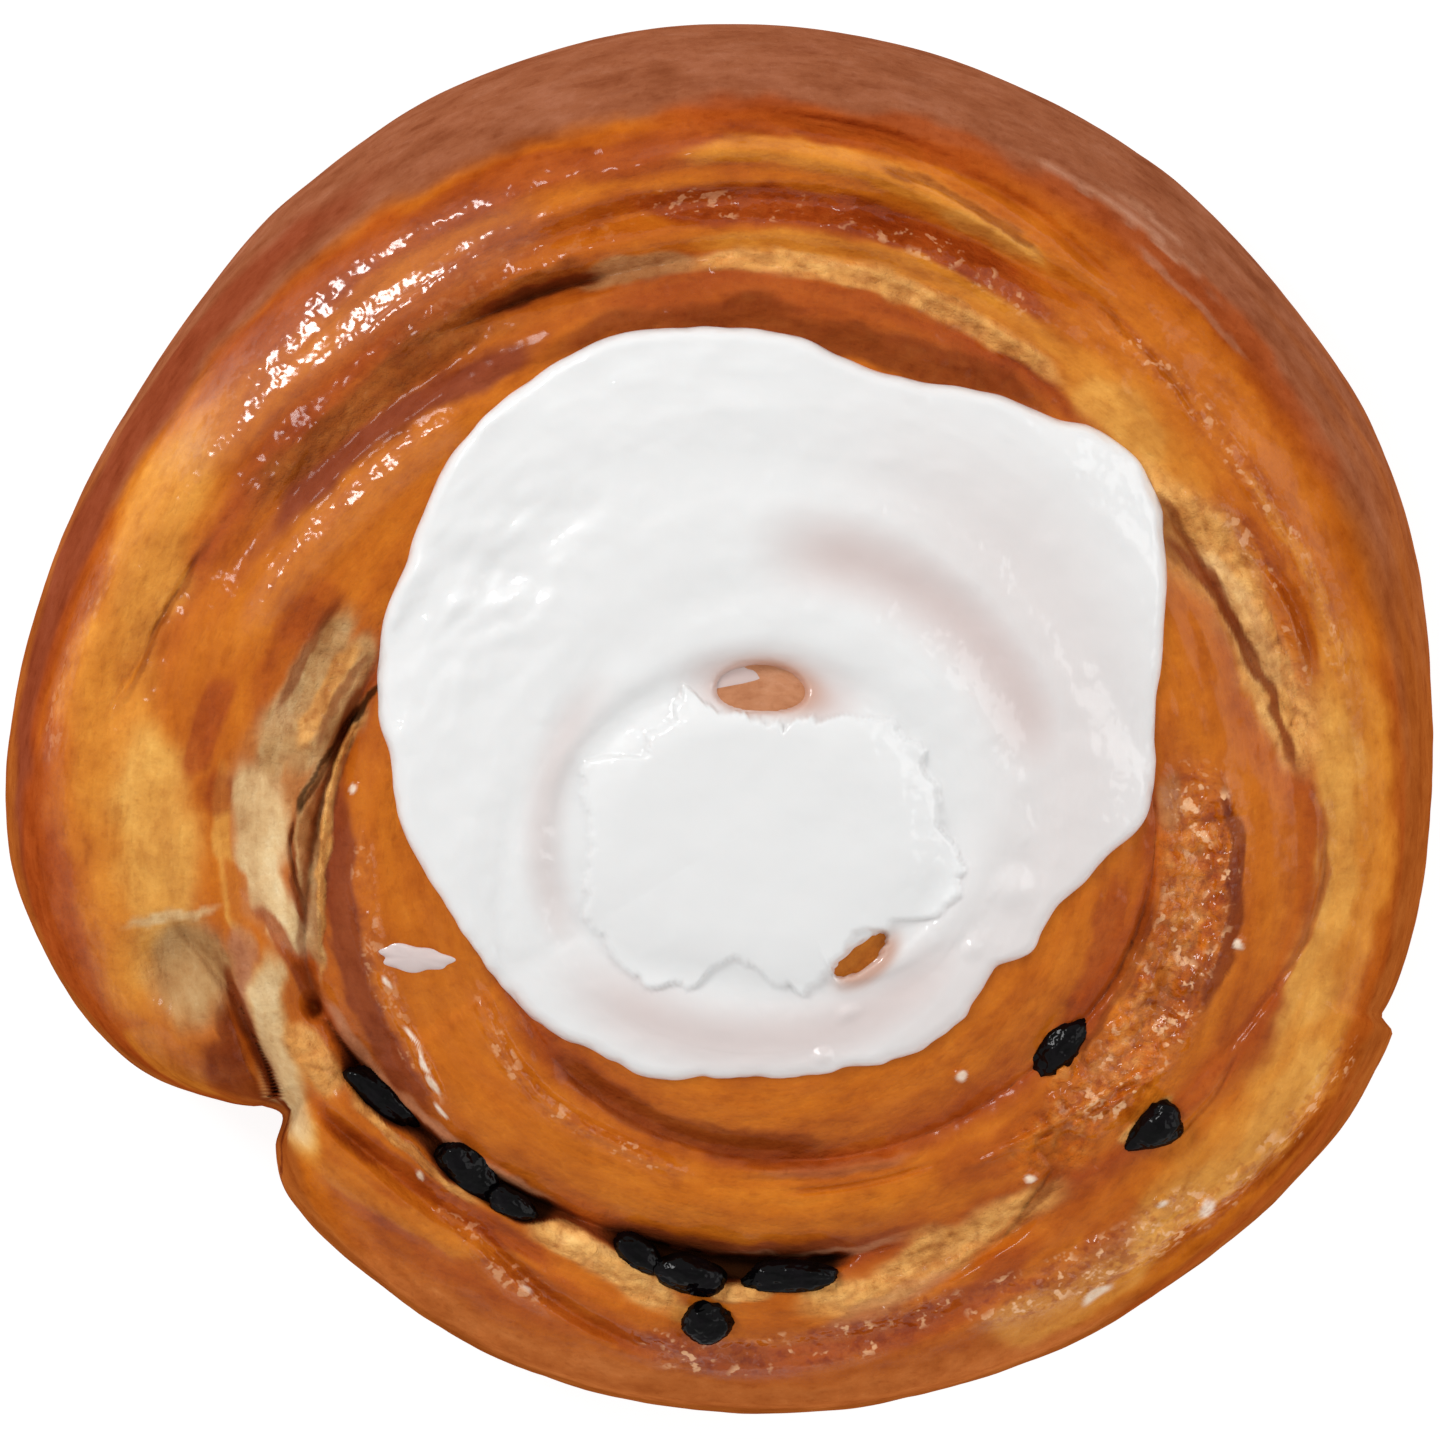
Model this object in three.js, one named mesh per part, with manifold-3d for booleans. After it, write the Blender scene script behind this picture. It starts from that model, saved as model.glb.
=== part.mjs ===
// A chelsea bun: one coil of sweet dough, glazed, with currants in its seams and white
// icing over its middle. Millimetres, +Z up, resting on z = 0.
//
// The coil is laid out as it looks from viewTilt off the vertical: polar, about the knob
// at its middle, with angles counted from the right towards the back. Heights are true
// heights. The finished solids are then sheared upright.

import * as THREE from 'three';
import { mergeVertices } from 'three/addons/utils/BufferGeometryUtils.js';
import Module from 'manifold-3d';

// Driving dimensions

const viewTilt = 12 * (Math.PI / 180);
const crownHeight = 32.5;    // dough at the knob
const rimFall = 7.5;         // from the crown down to the outermost turn's ridge
const shoulderDrop = 3.5;    // from that ridge down to the top of the side wall
const crownPower = 2.3;      // how late the dome falls away
const girthHeight = 9;       // where the side wall is widest
const bulge = 24;            // radius of the side wall's barrel curve
const footFillet = 3;        // rounding where the side wall meets the base
const seamShare = 0.5;       // how much of a turn's width one seam may round off
const innerRounding = 5;     // widest rounding on the inner, higher side of a seam
const outerRounding = 4;     // and on its outer, lower side
const shoulderShare = 0.45;  // share of the outer turn that its shoulder rounds off
const icingThickness = 1.1;
const gap = 0.3;             // left between pieces that lie on each other

// The side wall's outline round the knob: [angle, radius]

const outline = curveThrough([
  [0, 56.7], [15, 58.4], [30, 61.2], [45, 62.6], [60, 64.4], [90, 66.7], [112, 66.4],
  [128, 64.8], [150, 63], [180, 62.9], [190, 61], [197, 58.5], [203, 55], [208, 50.4],
  [211.5, 47], [214, 48.9], [219, 50.4], [240, 50.1], [270, 49.7], [290, 50.5],
  [315, 52.8], [330, 55.1], [341, 56.5],
], 360);

// A nick where the skin has torn, which opens abruptly and heals slowly

const tear = { angle: 341.7, depth: 1.8, opening: 1.3, healing: 6 };

// The seam winds inwards from the tail of the dough: [degrees wound, radius]

const tailAngle = 211.5;
const seamLead = 8;          // degrees over which the seam runs in through the wall
const seamEnd = 1355;

const seamRadius = curveThrough([
  [-seamLead, 57], [0, 47], [11.5, 45.4], [20, 46.8], [31, 51.5], [40.5, 54.2],
  [54.5, 51.2], [71.5, 49.5], [100, 47.1], [121.5, 46.7], [131.5, 46.3], [151.5, 43.5],
  [181.5, 42.6], [201.5, 44], [211.5, 47], [226.5, 46.1], [246.5, 42.6], [261.5, 39.5],
  [281.5, 37.2], [321.5, 36], [346.5, 37.5], [371.5, 39.2], [385, 37.3], [401.5, 35.2],
  [441.5, 31.5], [481.5, 30], [531.5, 30.6], [556.5, 32], [571.5, 33], [591.5, 32.5],
  [616.5, 30.4], [651.5, 28.3], [686.5, 26.5], [720, 24.2], [751.5, 20], [791.5, 18.2],
  [831.5, 18.9], [860.5, 21.9], [895, 23.7], [923.5, 24], [951.5, 20.5], [976.5, 17.5],
  [1001.5, 14.8], [1041.5, 13.7], [1071.5, 16], [1111.5, 16.3], [1171.5, 13],
  [1201.5, 12.6], [1261.5, 14.5], [1301.5, 16.3], [seamEnd, 14.2],
]);

// How deep the seam is cut: [degrees wound, depth]

const seamDepth = curveThrough([
  [-seamLead, 3], [0, 5], [14, 3.5], [24, 0.8], [38, 0.8], [43, 2.2], [60, 3.2],
  [93, 5], [107, 5], [125, 4.2], [150, 3.6], [172, 2.2], [195, 3], [235, 2.5],
  [262, 3.6], [300, 5], [350, 5], [385, 6], [405, 4.5], [430, 1.5], [540, 1.5],
  [560, 3], [620, 4], [660, 3.5], [700, 3], [725, 2], [770, 0.9], [830, 1],
  [880, 2.6], [905, 2.2], [930, 1], [980, 1.5], [1010, 3], [1110, 3], [1200, 4.2],
  [1240, 3], [1310, 2.5], [seamEnd, 0],
]);

// Folds and troughs along a turn: they run from one angle to the other, through radii
// that are evenly spaced over that stretch, and rise or sink by "rise".

const foldFade = 0.25;       // share of a fold's length over which each end fades out

const folds = [
  { from: 44, to: 124, radii: [51, 51.2, 51.4, 51.2, 50.4], halfWidth: 2, rise: -1.7 },
  { from: 50, to: 116, radii: [47.6, 48.4, 48.6, 48.4], halfWidth: 1.6, rise: 0.6 },
  { from: 50, to: 94, radii: [52, 55, 57.6, 58.3], halfWidth: 1.1, rise: -1 },
  { from: 54, to: 106, radii: [51.2, 52.6, 54.4, 55.6, 55], halfWidth: 1.5, rise: 0.9 },
  { from: 6, to: 36, radii: [46.5, 45.6, 45], halfWidth: 1.8, rise: -1 },
  { from: -42, to: 16, radii: [34.5, 36.8, 37, 36.5, 35], halfWidth: 3.2, rise: -1.5 },
  { from: 320, to: 344, radii: [50.8, 51.9, 52.6, 55.2], halfWidth: 1, rise: -0.7 },
  { from: 207, to: 266, radii: [44.3, 42.3, 41.2, 43.8, 45.6], halfWidth: 1.2, rise: -1.5 },
  { from: 236, to: 266, radii: [38.8, 40, 41], halfWidth: 2.2, rise: -1 },
  { from: 262, to: 304, radii: [43.8, 43.8, 43.8], halfWidth: 1.8, rise: -0.8 },
  { from: 280, to: 308, radii: [39.2, 39.2, 39.8], halfWidth: 1.8, rise: -0.7 },
  { from: 150, to: 171, radii: [37.4, 37.8, 38.6], halfWidth: 3.5, rise: -1.3 },
  { from: 168, to: 195, radii: [41, 42.5, 42], halfWidth: 3.5, rise: -1 },
];

// Hollows: the opened pocket in the tail, and the stretched dough beside it

const hollows = [
  { angle: 193.5, radius: 50, halfLength: 5, halfWidth: 5.5, rise: -2.8 },
  { angle: 203, radius: 41.5, halfLength: 6, halfWidth: 4, rise: -1.8 },
  { angle: 202.5, radius: 39.8, halfLength: 1.6, halfWidth: 1.2, rise: -2.5 },
];

// The icing's edge, the bare patches in it and the smear beside it

const icingEdge = curveThrough([
  [0, 32.5], [15, 34.9], [30, 40], [38, 43.3], [46, 44.2], [53, 42.5], [65, 40.3],
  [72, 39.3], [85, 41], [105, 42.8], [120, 41.3], [145, 36.3], [160, 33.8], [185, 28.8],
  [205, 25.9], [225, 25], [250, 23.2], [268, 21.8], [290, 22.5], [315, 24.5],
  [328, 24], [343, 26.8],
], 360);

const icingHoles = [
  { angle: 91, radius: 11, halfLength: 3.2, halfWidth: 1.5 },
  { angle: 308, radius: 14.3, halfLength: 2.7, halfWidth: 0.9 },
];

const smear = { angle: 201.5, radius: 30.4, heading: -6, halfLength: 3, halfWidth: 1.2 };

// Currants: place, heading of the long axis, size, and how far the middle lies above
// the seam that holds it

const currants = [
  { angle: 215.4, radius: 38.4, heading: -47, size: [6.2, 3, 3.6], lift: 0.9 },
  { angle: 231.8, radius: 37.5, heading: -48, size: [4.6, 3.9, 4], lift: 0.9 },
  { angle: 238.2, radius: 37.6, heading: -25, size: [2.9, 2.6, 2.8], lift: 0.8 },
  { angle: 255.4, radius: 37.2, heading: -38, size: [3.4, 2.6, 3], lift: 0.6 },
  { angle: 261.3, radius: 38.4, heading: -12, size: [4.3, 3.2, 3.4], lift: 0.7 },
  { angle: 274, radius: 37.9, heading: 2, size: [6.8, 3, 3.4], lift: 0.7 },
  { angle: 264.6, radius: 42.5, heading: 30, size: [4.6, 4, 4], lift: 0.5 },
  { angle: 323.8, radius: 31.7, heading: 46, size: [5, 3.9, 4], lift: 0.8 },
  { angle: 322.5, radius: 42.2, heading: 36, size: [5.6, 3.8, 4], lift: 0.8 },
];

// How finely the solids are faceted

const coarseStep = 6;
const fineStep = 2;
const fineSpans = [[198, 216], [336, 348]];
const ringBands = [{ reach: 12, count: 3 }, { reach: 24, count: 8 }];
const outerRings = 20;
const icingOuterRings = 13;  // those of the outer rings that the icing may reach
const wallRings = 5;
const wallSpacing = 0.8;     // below 1, the rings of the wall crowd towards its foot
const ovalSides = 12;
const currantSides = [10, 7];
const weldTolerance = 1e-4;

// Curves

function curveThrough(knots, period = 0) {
  const first = knots[0][0];
  const last = knots[knots.length - 1][0];
  const knot = (i) => {
    if (!period) return knots[Math.min(Math.max(i, 0), knots.length - 1)];
    const lap = Math.floor(i / knots.length);
    const [x, y] = knots[i - lap * knots.length];
    return [x + lap * period, y];
  };
  const slope = (i) => {
    const [x0, y0] = knot(i - 1);
    const [x1, y1] = knot(i + 1);
    return (y1 - y0) / (x1 - x0);
  };
  return (x) => {
    const place = period
      ? x - period * Math.floor((x - first) / period)
      : Math.min(Math.max(x, first), last);
    let i = 0;
    while (i < knots.length - (period ? 1 : 2) && place >= knot(i + 1)[0]) i += 1;
    const [x0, y0] = knot(i);
    const [x1, y1] = knot(i + 1);
    const width = x1 - x0;
    const t = (place - x0) / width;
    const s = 1 - t;
    return (1 + 2 * t) * s * s * y0 + t * t * (3 - 2 * t) * y1
      + width * t * s * (s * slope(i) - t * slope(i + 1));
  };
}

const turnBy = (degrees, period = 360) => degrees - period * Math.floor(degrees / period);
const radians = (degrees) => degrees * (Math.PI / 180);
const softStep = (t) => {
  const s = Math.min(Math.max(t, 0), 1);
  return s * s * (3 - 2 * s);
};

// The side wall

function wallOutline(angle) {
  const past = turnBy(angle - tear.angle);
  const torn = tear.depth * softStep(past / tear.opening) * Math.exp(-past / tear.healing);
  return outline(angle) - torn;
}

const widestHeight = (angle) =>
  girthHeight - bulge * Math.sin(viewTilt) * Math.sin(radians(angle));

function wallRadius(angle, z) {
  const barrel = (z - widestHeight(angle)) ** 2 / (2 * bulge);
  const foot = Math.min(z / footFillet, 1);
  const rounding = footFillet * (1 - Math.sqrt(1 - (1 - foot) ** 2));
  return wallOutline(angle) - barrel - rounding;
}

const shoulderRadius = (angle) =>
  wallRadius(angle, crownHeight - rimFall - shoulderDrop);

// The seam's passes at one angle, from the outermost to the innermost

function seamPasses(angle) {
  const passes = [];
  const wound = turnBy(tailAngle - angle);
  for (let turn = wound - 360; turn < seamEnd; turn += 360) {
    if (turn > -seamLead) passes.push({ radius: seamRadius(turn), depth: seamDepth(turn) });
  }
  return passes.map((pass, i) => {
    const outside = i ? passes[i - 1].radius : shoulderRadius(angle);
    const inside = i + 1 < passes.length ? passes[i + 1].radius : 0;
    return {
      ...pass,
      inner: Math.min(innerRounding, seamShare * Math.abs(pass.radius - inside)),
      outer: Math.min(outerRounding, seamShare * Math.abs(outside - pass.radius)),
    };
  });
}

function seamDrop(passes, radius) {
  const drops = passes.map((pass) => {
    const away = radius - pass.radius;
    const t = Math.min(Math.abs(away) / (away < 0 ? pass.inner : pass.outer), 1);
    return pass.depth * (1 - Math.sqrt(1 - (1 - t) ** 2));
  });
  return Math.max(0, ...drops);
}

// Relief on the turns

function foldRise(fold, angle, radius) {
  const along = turnBy(angle - fold.from) / (fold.to - fold.from);
  if (along > 1) return 0;
  const place = along * (fold.radii.length - 1);
  const step = Math.min(Math.floor(place), fold.radii.length - 2);
  const middle = THREE.MathUtils.lerp(fold.radii[step], fold.radii[step + 1], place - step);
  const across = Math.abs(radius - middle) / fold.halfWidth;
  const fade = softStep(along / foldFade) * softStep((1 - along) / foldFade);
  return fold.rise * fade * softStep(1 - across);
}

function hollowRise(hollow, angle, radius) {
  const swing = turnBy(angle - hollow.angle + 180) - 180;
  const along = (radians(swing) * hollow.radius) / hollow.halfLength;
  const across = (radius - hollow.radius) / hollow.halfWidth;
  return hollow.rise * softStep(1 - Math.hypot(along, across));
}

function topHeight(angle, radius, passes = seamPasses(angle)) {
  const shoulder = shoulderRadius(angle);
  const rim = passes.find((pass) => pass.radius < shoulder);
  const rounding = shoulderShare * (shoulder - rim.radius);
  const edge = Math.max(1 - (shoulder - radius) / rounding, 0);
  const dome = crownHeight - rimFall * (radius / shoulder) ** crownPower;
  const relief = folds.reduce((sum, fold) => sum + foldRise(fold, angle, radius), 0)
    + hollows.reduce((sum, hollow) => sum + hollowRise(hollow, angle, radius), 0);
  return dome - shoulderDrop * edge ** 2 - seamDrop(passes, radius) + relief;
}

// Faceted solids: columns of points run out from the middle, and then down or back in

function spokeAngles() {
  const angles = [];
  let angle = 0;
  while (angle < 360) {
    angles.push(angle);
    const fine = fineSpans.some(([from, to]) => angle >= from && angle < to);
    angle += fine ? fineStep : coarseStep;
  }
  return angles;
}

function ringRadii(angle, passes) {
  const radii = [];
  let start = 0;
  for (const { reach, count } of [
    ...ringBands, { reach: shoulderRadius(angle), count: outerRings },
  ]) {
    for (let i = 1; i <= count; i += 1) radii.push(start + ((reach - start) * i) / count);
    start = reach;
  }
  const shoulder = radii[radii.length - 1];
  for (const pass of passes) {
    const off = (r) => Math.abs(r - pass.radius);
    const nearest = radii.reduce((best, r, i) => (off(r) < off(radii[best]) ? i : best), 0);
    const free = nearest < radii.length - 1 && pass.radius < shoulder;
    if (free) radii[nearest] = pass.radius;
  }
  return radii;
}

const viewPoint = (angle, radius, z) => [
  radius * Math.cos(radians(angle)), radius * Math.sin(radians(angle)), z,
];

function topColumn(angle) {
  const passes = seamPasses(angle);
  return ringRadii(angle, passes).map((radius) => ({
    radius, z: topHeight(angle, radius, passes),
  }));
}

function wallColumn(angle, edge) {
  const miss = edge.radius - wallRadius(angle, edge.z);
  const points = [];
  for (let i = 1; i <= wallRings; i += 1) {
    const share = 1 - (i / wallRings) ** wallSpacing;
    const z = edge.z * share;
    points.push({ radius: wallRadius(angle, z) + miss * share ** 3, z });
  }
  return points;
}

function closedSolid(angles, columns, topZ, bottomZ) {
  const rings = columns[0].length;
  const positions = columns.flatMap((column, i) =>
    column.flatMap(({ radius, z }) => viewPoint(angles[i], radius, z)));
  positions.push(0, 0, topZ, 0, 0, bottomZ);
  const top = columns.length * rings;
  const bottom = top + 1;
  const span = (a, b) => Math.hypot(
    positions[3 * a] - positions[3 * b],
    positions[3 * a + 1] - positions[3 * b + 1],
    positions[3 * a + 2] - positions[3 * b + 2],
  );
  const faces = [];
  columns.forEach((column, i) => {
    const here = i * rings;
    const next = ((i + 1) % columns.length) * rings;
    faces.push(top, here, next, bottom, next + rings - 1, here + rings - 1);
    for (let j = 0; j < rings - 1; j += 1) {
      const [a, b, c, d] = [here + j, here + j + 1, next + j + 1, next + j];
      if (span(a, c) <= span(b, d)) faces.push(a, b, c, a, c, d);
      else faces.push(a, b, d, b, c, d);
    }
  });
  const geometry = new THREE.BufferGeometry();
  geometry.setAttribute('position', new THREE.Float32BufferAttribute(positions, 3));
  geometry.setIndex(faces);
  return geometry;
}

function doughBody(angles, tops) {
  const columns = tops.map((column, i) =>
    [...column, ...wallColumn(angles[i], column[column.length - 1])]);
  return closedSolid(angles, columns, crownHeight, 0);
}

function icingSheet(angles, tops) {
  const kept = ringBands.reduce((sum, band) => sum + band.count, 0) + icingOuterRings;
  const columns = tops.map((column) => {
    const under = column.slice(0, kept).map(({ radius, z }) => ({ radius, z: z + gap }));
    const over = under.map(({ radius, z }) => ({ radius, z: z + icingThickness }));
    return [...over, ...under.reverse()];
  });
  const underside = crownHeight + gap;
  return closedSolid(angles, columns, underside + icingThickness, underside);
}

// Outlines that cut the icing to shape

function ovalPoints({ angle, radius, heading = angle + 90, halfLength, halfWidth }) {
  const [x, y] = viewPoint(angle, radius, 0);
  const oval = new THREE.EllipseCurve(
    x, y, halfLength, halfWidth, 0, 2 * Math.PI, false, radians(heading),
  );
  return oval.getPoints(ovalSides).slice(0, ovalSides);
}

function cutter(points, holes = []) {
  const shape = new THREE.Shape(points);
  shape.holes = holes.map((hole) => new THREE.Path(hole));
  return new THREE.ExtrudeGeometry(shape, { depth: 2 * crownHeight, bevelEnabled: false });
}

function icingCutter(angles) {
  const points = angles.map((angle) => {
    const [x, y] = viewPoint(angle, icingEdge(angle), 0);
    return new THREE.Vector2(x, y);
  });
  return cutter(points, icingHoles.map(ovalPoints));
}

// Currants

function currantBody({ angle, radius, heading, size, lift }, margin = 0) {
  const currant = new THREE.SphereGeometry(1, ...currantSides);
  currant.scale(...size.map((side) => side / 2 + margin));
  currant.rotateZ(radians(heading));
  const [x, y] = viewPoint(angle, radius, 0);
  currant.translate(x, y, topHeight(angle, radius) + lift);
  return currant;
}

// Booleans

const wasm = await Module();
wasm.setup();

function toManifold(geometry) {
  const bare = geometry.clone();
  bare.deleteAttribute('normal');
  bare.deleteAttribute('uv');
  const merged = mergeVertices(bare, weldTolerance);
  return new wasm.Manifold(new wasm.Mesh({
    numProp: 3,
    vertProperties: Float32Array.from(merged.attributes.position.array),
    triVerts: Uint32Array.from(merged.index.array),
  }));
}

function toGeometry(manifold) {
  const { vertProperties, triVerts } = manifold.getMesh();
  const geometry = new THREE.BufferGeometry();
  geometry.setAttribute('position', new THREE.BufferAttribute(vertProperties, 3));
  geometry.setIndex(new THREE.BufferAttribute(triVerts, 1));
  return geometry;
}

// Assembly

const dough = new THREE.MeshStandardMaterial({ color: 0xc47c38, roughness: 0.35 });
const icing = new THREE.MeshStandardMaterial({ color: 0xefedec, roughness: 0.3 });
const fruit = new THREE.MeshStandardMaterial({ color: 0x17100e, roughness: 0.4 });

const upright = new THREE.Matrix4().set(
  1, 0, 0, 0,
  0, 1 / Math.cos(viewTilt), Math.tan(viewTilt), 0,
  0, 0, 1, 0,
  0, 0, 0, 1,
);

const bun = new THREE.Group();

function addPiece(name, geometry, material) {
  const mesh = new THREE.Mesh(geometry.applyMatrix4(upright), material);
  mesh.name = name;
  bun.add(mesh);
}

const spokes = spokeAngles();
const tops = spokes.map(topColumn);

const pocketed = currants.reduce(
  (body, currant) => body.subtract(toManifold(currantBody(currant, gap))),
  toManifold(doughBody(spokes, tops)),
);
addPiece('dough', toGeometry(pocketed), dough);

const sheet = toManifold(icingSheet(spokes, tops));
addPiece('icing', toGeometry(sheet.intersect(toManifold(icingCutter(spokes)))), icing);
const smearCutter = toManifold(cutter(ovalPoints(smear)));
addPiece('icing_smear', toGeometry(sheet.intersect(smearCutter)), icing);

currants.forEach((currant, i) => {
  addPiece(`currant_${i + 1}`, currantBody(currant), fruit);
});

const middle = new THREE.Box3().setFromObject(bun).getCenter(new THREE.Vector3());
bun.position.set(-middle.x, -middle.y, 0);

export default bun;
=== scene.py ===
"""A chelsea bun: a coil of glazed sweet dough with currants in its seams and white icing on it.

The coil is laid out as it looks from VIEW_TILT off the vertical: polar, about the knob at
its middle, in millimetres and degrees, with angles counted from the right towards the
back. Heights are true heights. to_frame() shears the layout upright and puts it in the
frame, in metres.
"""

import math

import bpy
import numpy as np
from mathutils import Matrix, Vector


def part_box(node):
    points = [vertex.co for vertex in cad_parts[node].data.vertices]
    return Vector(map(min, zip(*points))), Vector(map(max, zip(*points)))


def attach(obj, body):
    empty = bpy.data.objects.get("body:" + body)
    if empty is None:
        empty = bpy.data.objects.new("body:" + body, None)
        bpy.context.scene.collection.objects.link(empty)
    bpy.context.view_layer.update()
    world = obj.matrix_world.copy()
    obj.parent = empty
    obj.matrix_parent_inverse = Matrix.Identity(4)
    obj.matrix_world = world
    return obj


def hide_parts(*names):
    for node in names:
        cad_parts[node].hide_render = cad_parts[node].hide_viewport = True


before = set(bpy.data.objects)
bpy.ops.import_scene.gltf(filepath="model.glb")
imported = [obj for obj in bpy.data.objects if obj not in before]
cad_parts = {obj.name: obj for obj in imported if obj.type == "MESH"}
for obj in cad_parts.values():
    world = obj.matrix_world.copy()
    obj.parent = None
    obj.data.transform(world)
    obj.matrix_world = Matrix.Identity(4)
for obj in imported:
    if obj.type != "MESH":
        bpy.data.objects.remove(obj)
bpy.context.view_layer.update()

# Driving dimensions, in millimetres and degrees

MM = 0.001
VIEW_TILT = math.radians(12)
CROWN_HEIGHT = 32.5
RIM_FALL = 7.5
SHOULDER_DROP = 3.5
CROWN_POWER = 2.3
GIRTH_HEIGHT = 9
BULGE = 24
FOOT_FILLET = 3
SEAM_SHARE = 0.5
INNER_ROUNDING = 5
OUTER_ROUNDING = 4
SHOULDER_SHARE = 0.45
TAIL_ANGLE = 211.5
SEAM_LEAD = 8
SEAM_END = 1355
SEAM_LAPS = range(-1, 4)
TURN_RADIUS = 45

# Gaps in the seams, sunk into the relief and painted brown and black as shade: depth, narrowest half
# width, growth of it with the gape, and reach in half widths

GAP_DEPTH = 1.6
GAP_HALF_WIDTH = 0.3
GAP_GROWTH = 0.75
GAP_REACH = 1.5

# The photograph: its side and the knob's place in it, in pixels, and its scale

PICTURE_SIDE = 1440
KNOB_PIXEL = (756, 823)
MM_PER_PIXEL = 0.0833

# How finely the pieces are meshed

DOUGH_SPOKES = 1000
COVERED_REACH = 20
COVERED_RINGS = 20
TOP_RINGS = 210
WALL_RINGS = 36
BASE_RINGS = 6
ICING_SPOKES = 720
KNOB_REACH = 19
KNOB_RINGS = 64
ICING_RINGS = 70
UNDER_RINGS = 12
SMEAR_SPOKES = 72
SMEAR_RINGS = 14
BALL_SUBDIVISIONS = 4

# Noise: strength, size across the turns, length along them (0 for the same each way),
# seed and layers. Strengths are in millimetres, or degrees for the angle rags and drift,
# and those of 1 only give a pattern.

NOISES = {
    "edge_wobble": (0.35, 3, 0, 301, 2),
    "edge_streaks": (0.3, 1, 4, 302, 2),
    "angle_rags": (0.7, 2, 6, 303, 2),
    "angle_drift": (3, 7, 0, 304, 2),
    "edge_drift": (1.2, 8, 0, 305, 2),
    "tone": (1, 2.4, 14, 306, 2),
    "speckle": (1, 1.2, 0, 307, 2),
    "lumps": (1, 2.6, 0, 41, 2),
    "dents": (0.22, 13, 0, 11, 2),
    "streaks": (0.09, 1.6, 9, 23, 2),
    "beads": (0.13, 1.6, 0, 29, 2),
    "grains": (0.25, 1.4, 0, 37, 3),
    "long_folds": (0.13, 3.4, 10, 43, 2),
    "short_folds": (0.07, 2.2, 0, 47, 2),
    "wall_wrinkles": (0.16, 1.8, 9, 53, 3),
    "wall_dents": (0.35, 9, 14, 51, 2),
    "icing_frill": (0.3, 6, 0, 81, 2),
    "knob_jags": (0.9, 3.4, 0, 91, 2),
    "knob_nicks": (0.22, 1.4, 0, 92, 2),
    "icing_waves": (0.1, 4.5, 0, 95, 2),
    "icing_ripples": (1, 3, 7, 97, 2),
}

# Fine relief: the crumb's lumps rise from their level, and the folds and streaks of the
# skin fade in over this range of radii

LUMP_RISE = 0.9
LUMP_LEVEL = 0.25
MIDDLE_FADE = (8, 28)

# The side: how its rings crowd, how its dents lie below the bulge, and how fast the top's
# edge blends into it

WALL_CROWDING = 0.9
WALL_SINK = 0.3
WALL_BLEND = 3

# The grain of the dough runs along the turns: features are this much narrower than long.
# The base's grain starts this far off the top's, in millimetres.

GRAIN_SHARE = 0.42
BASE_GRAIN = 60


# Curves and soft steps


def curve_through(knots, period=0):
    """A smooth curve through (x, y) knots, as a function of arrays. A period makes it repeat."""
    x, y = np.array(knots, float).T
    if period:
        x = np.concatenate([x[-2:] - period, x, x[:2] + period])
        y = np.concatenate([y[-2:], y, y[:2]])
    slope = np.empty_like(y)
    slope[1:-1] = (y[2:] - y[:-2]) / (x[2:] - x[:-2])
    slope[0] = (y[1] - y[0]) / (x[1] - x[0])
    slope[-1] = (y[-1] - y[-2]) / (x[-1] - x[-2])
    first = knots[0][0]

    def value(at):
        at = np.asarray(at, float)
        place = first + np.mod(at - first, period) if period else np.clip(at, x[0], x[-1])
        i = np.clip(np.searchsorted(x, place, side="right") - 1, 0, len(x) - 2)
        width = x[i + 1] - x[i]
        t = (place - x[i]) / width
        s = 1 - t
        ends = (1 + 2 * t) * s * s * y[i] + t * t * (3 - 2 * t) * y[i + 1]
        return ends + width * t * s * (s * slope[i] - t * slope[i + 1])

    return value


def soft_step(t):
    """From 0 at 0 to 1 at 1, level at both ends."""
    s = np.clip(t, 0, 1)
    return s * s * (3 - 2 * s)


def ramp(value, start, end):
    """The same from start to end."""
    return soft_step((value - start) / (end - start))


def swing(angle, middle):
    """Degrees from middle to angle, between -180 and 180."""
    return np.mod(angle - middle + 180, 360) - 180


# The coil's plan and depths, as in the CAD model

outline = curve_through([
    (0, 56.7), (15, 58.4), (30, 61.2), (45, 62.6), (60, 64.4), (90, 66.7), (112, 66.4),
    (128, 64.8), (150, 63), (180, 62.9), (190, 61), (197, 58.5), (203, 55), (208, 50.4),
    (211.5, 47), (214, 48.9), (219, 50.4), (240, 50.1), (270, 49.7), (290, 50.5),
    (315, 52.8), (330, 55.1), (341, 56.5),
], 360)

TEAR = {"angle": 341.7, "depth": 1.8, "opening": 1.3, "healing": 6}

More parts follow.
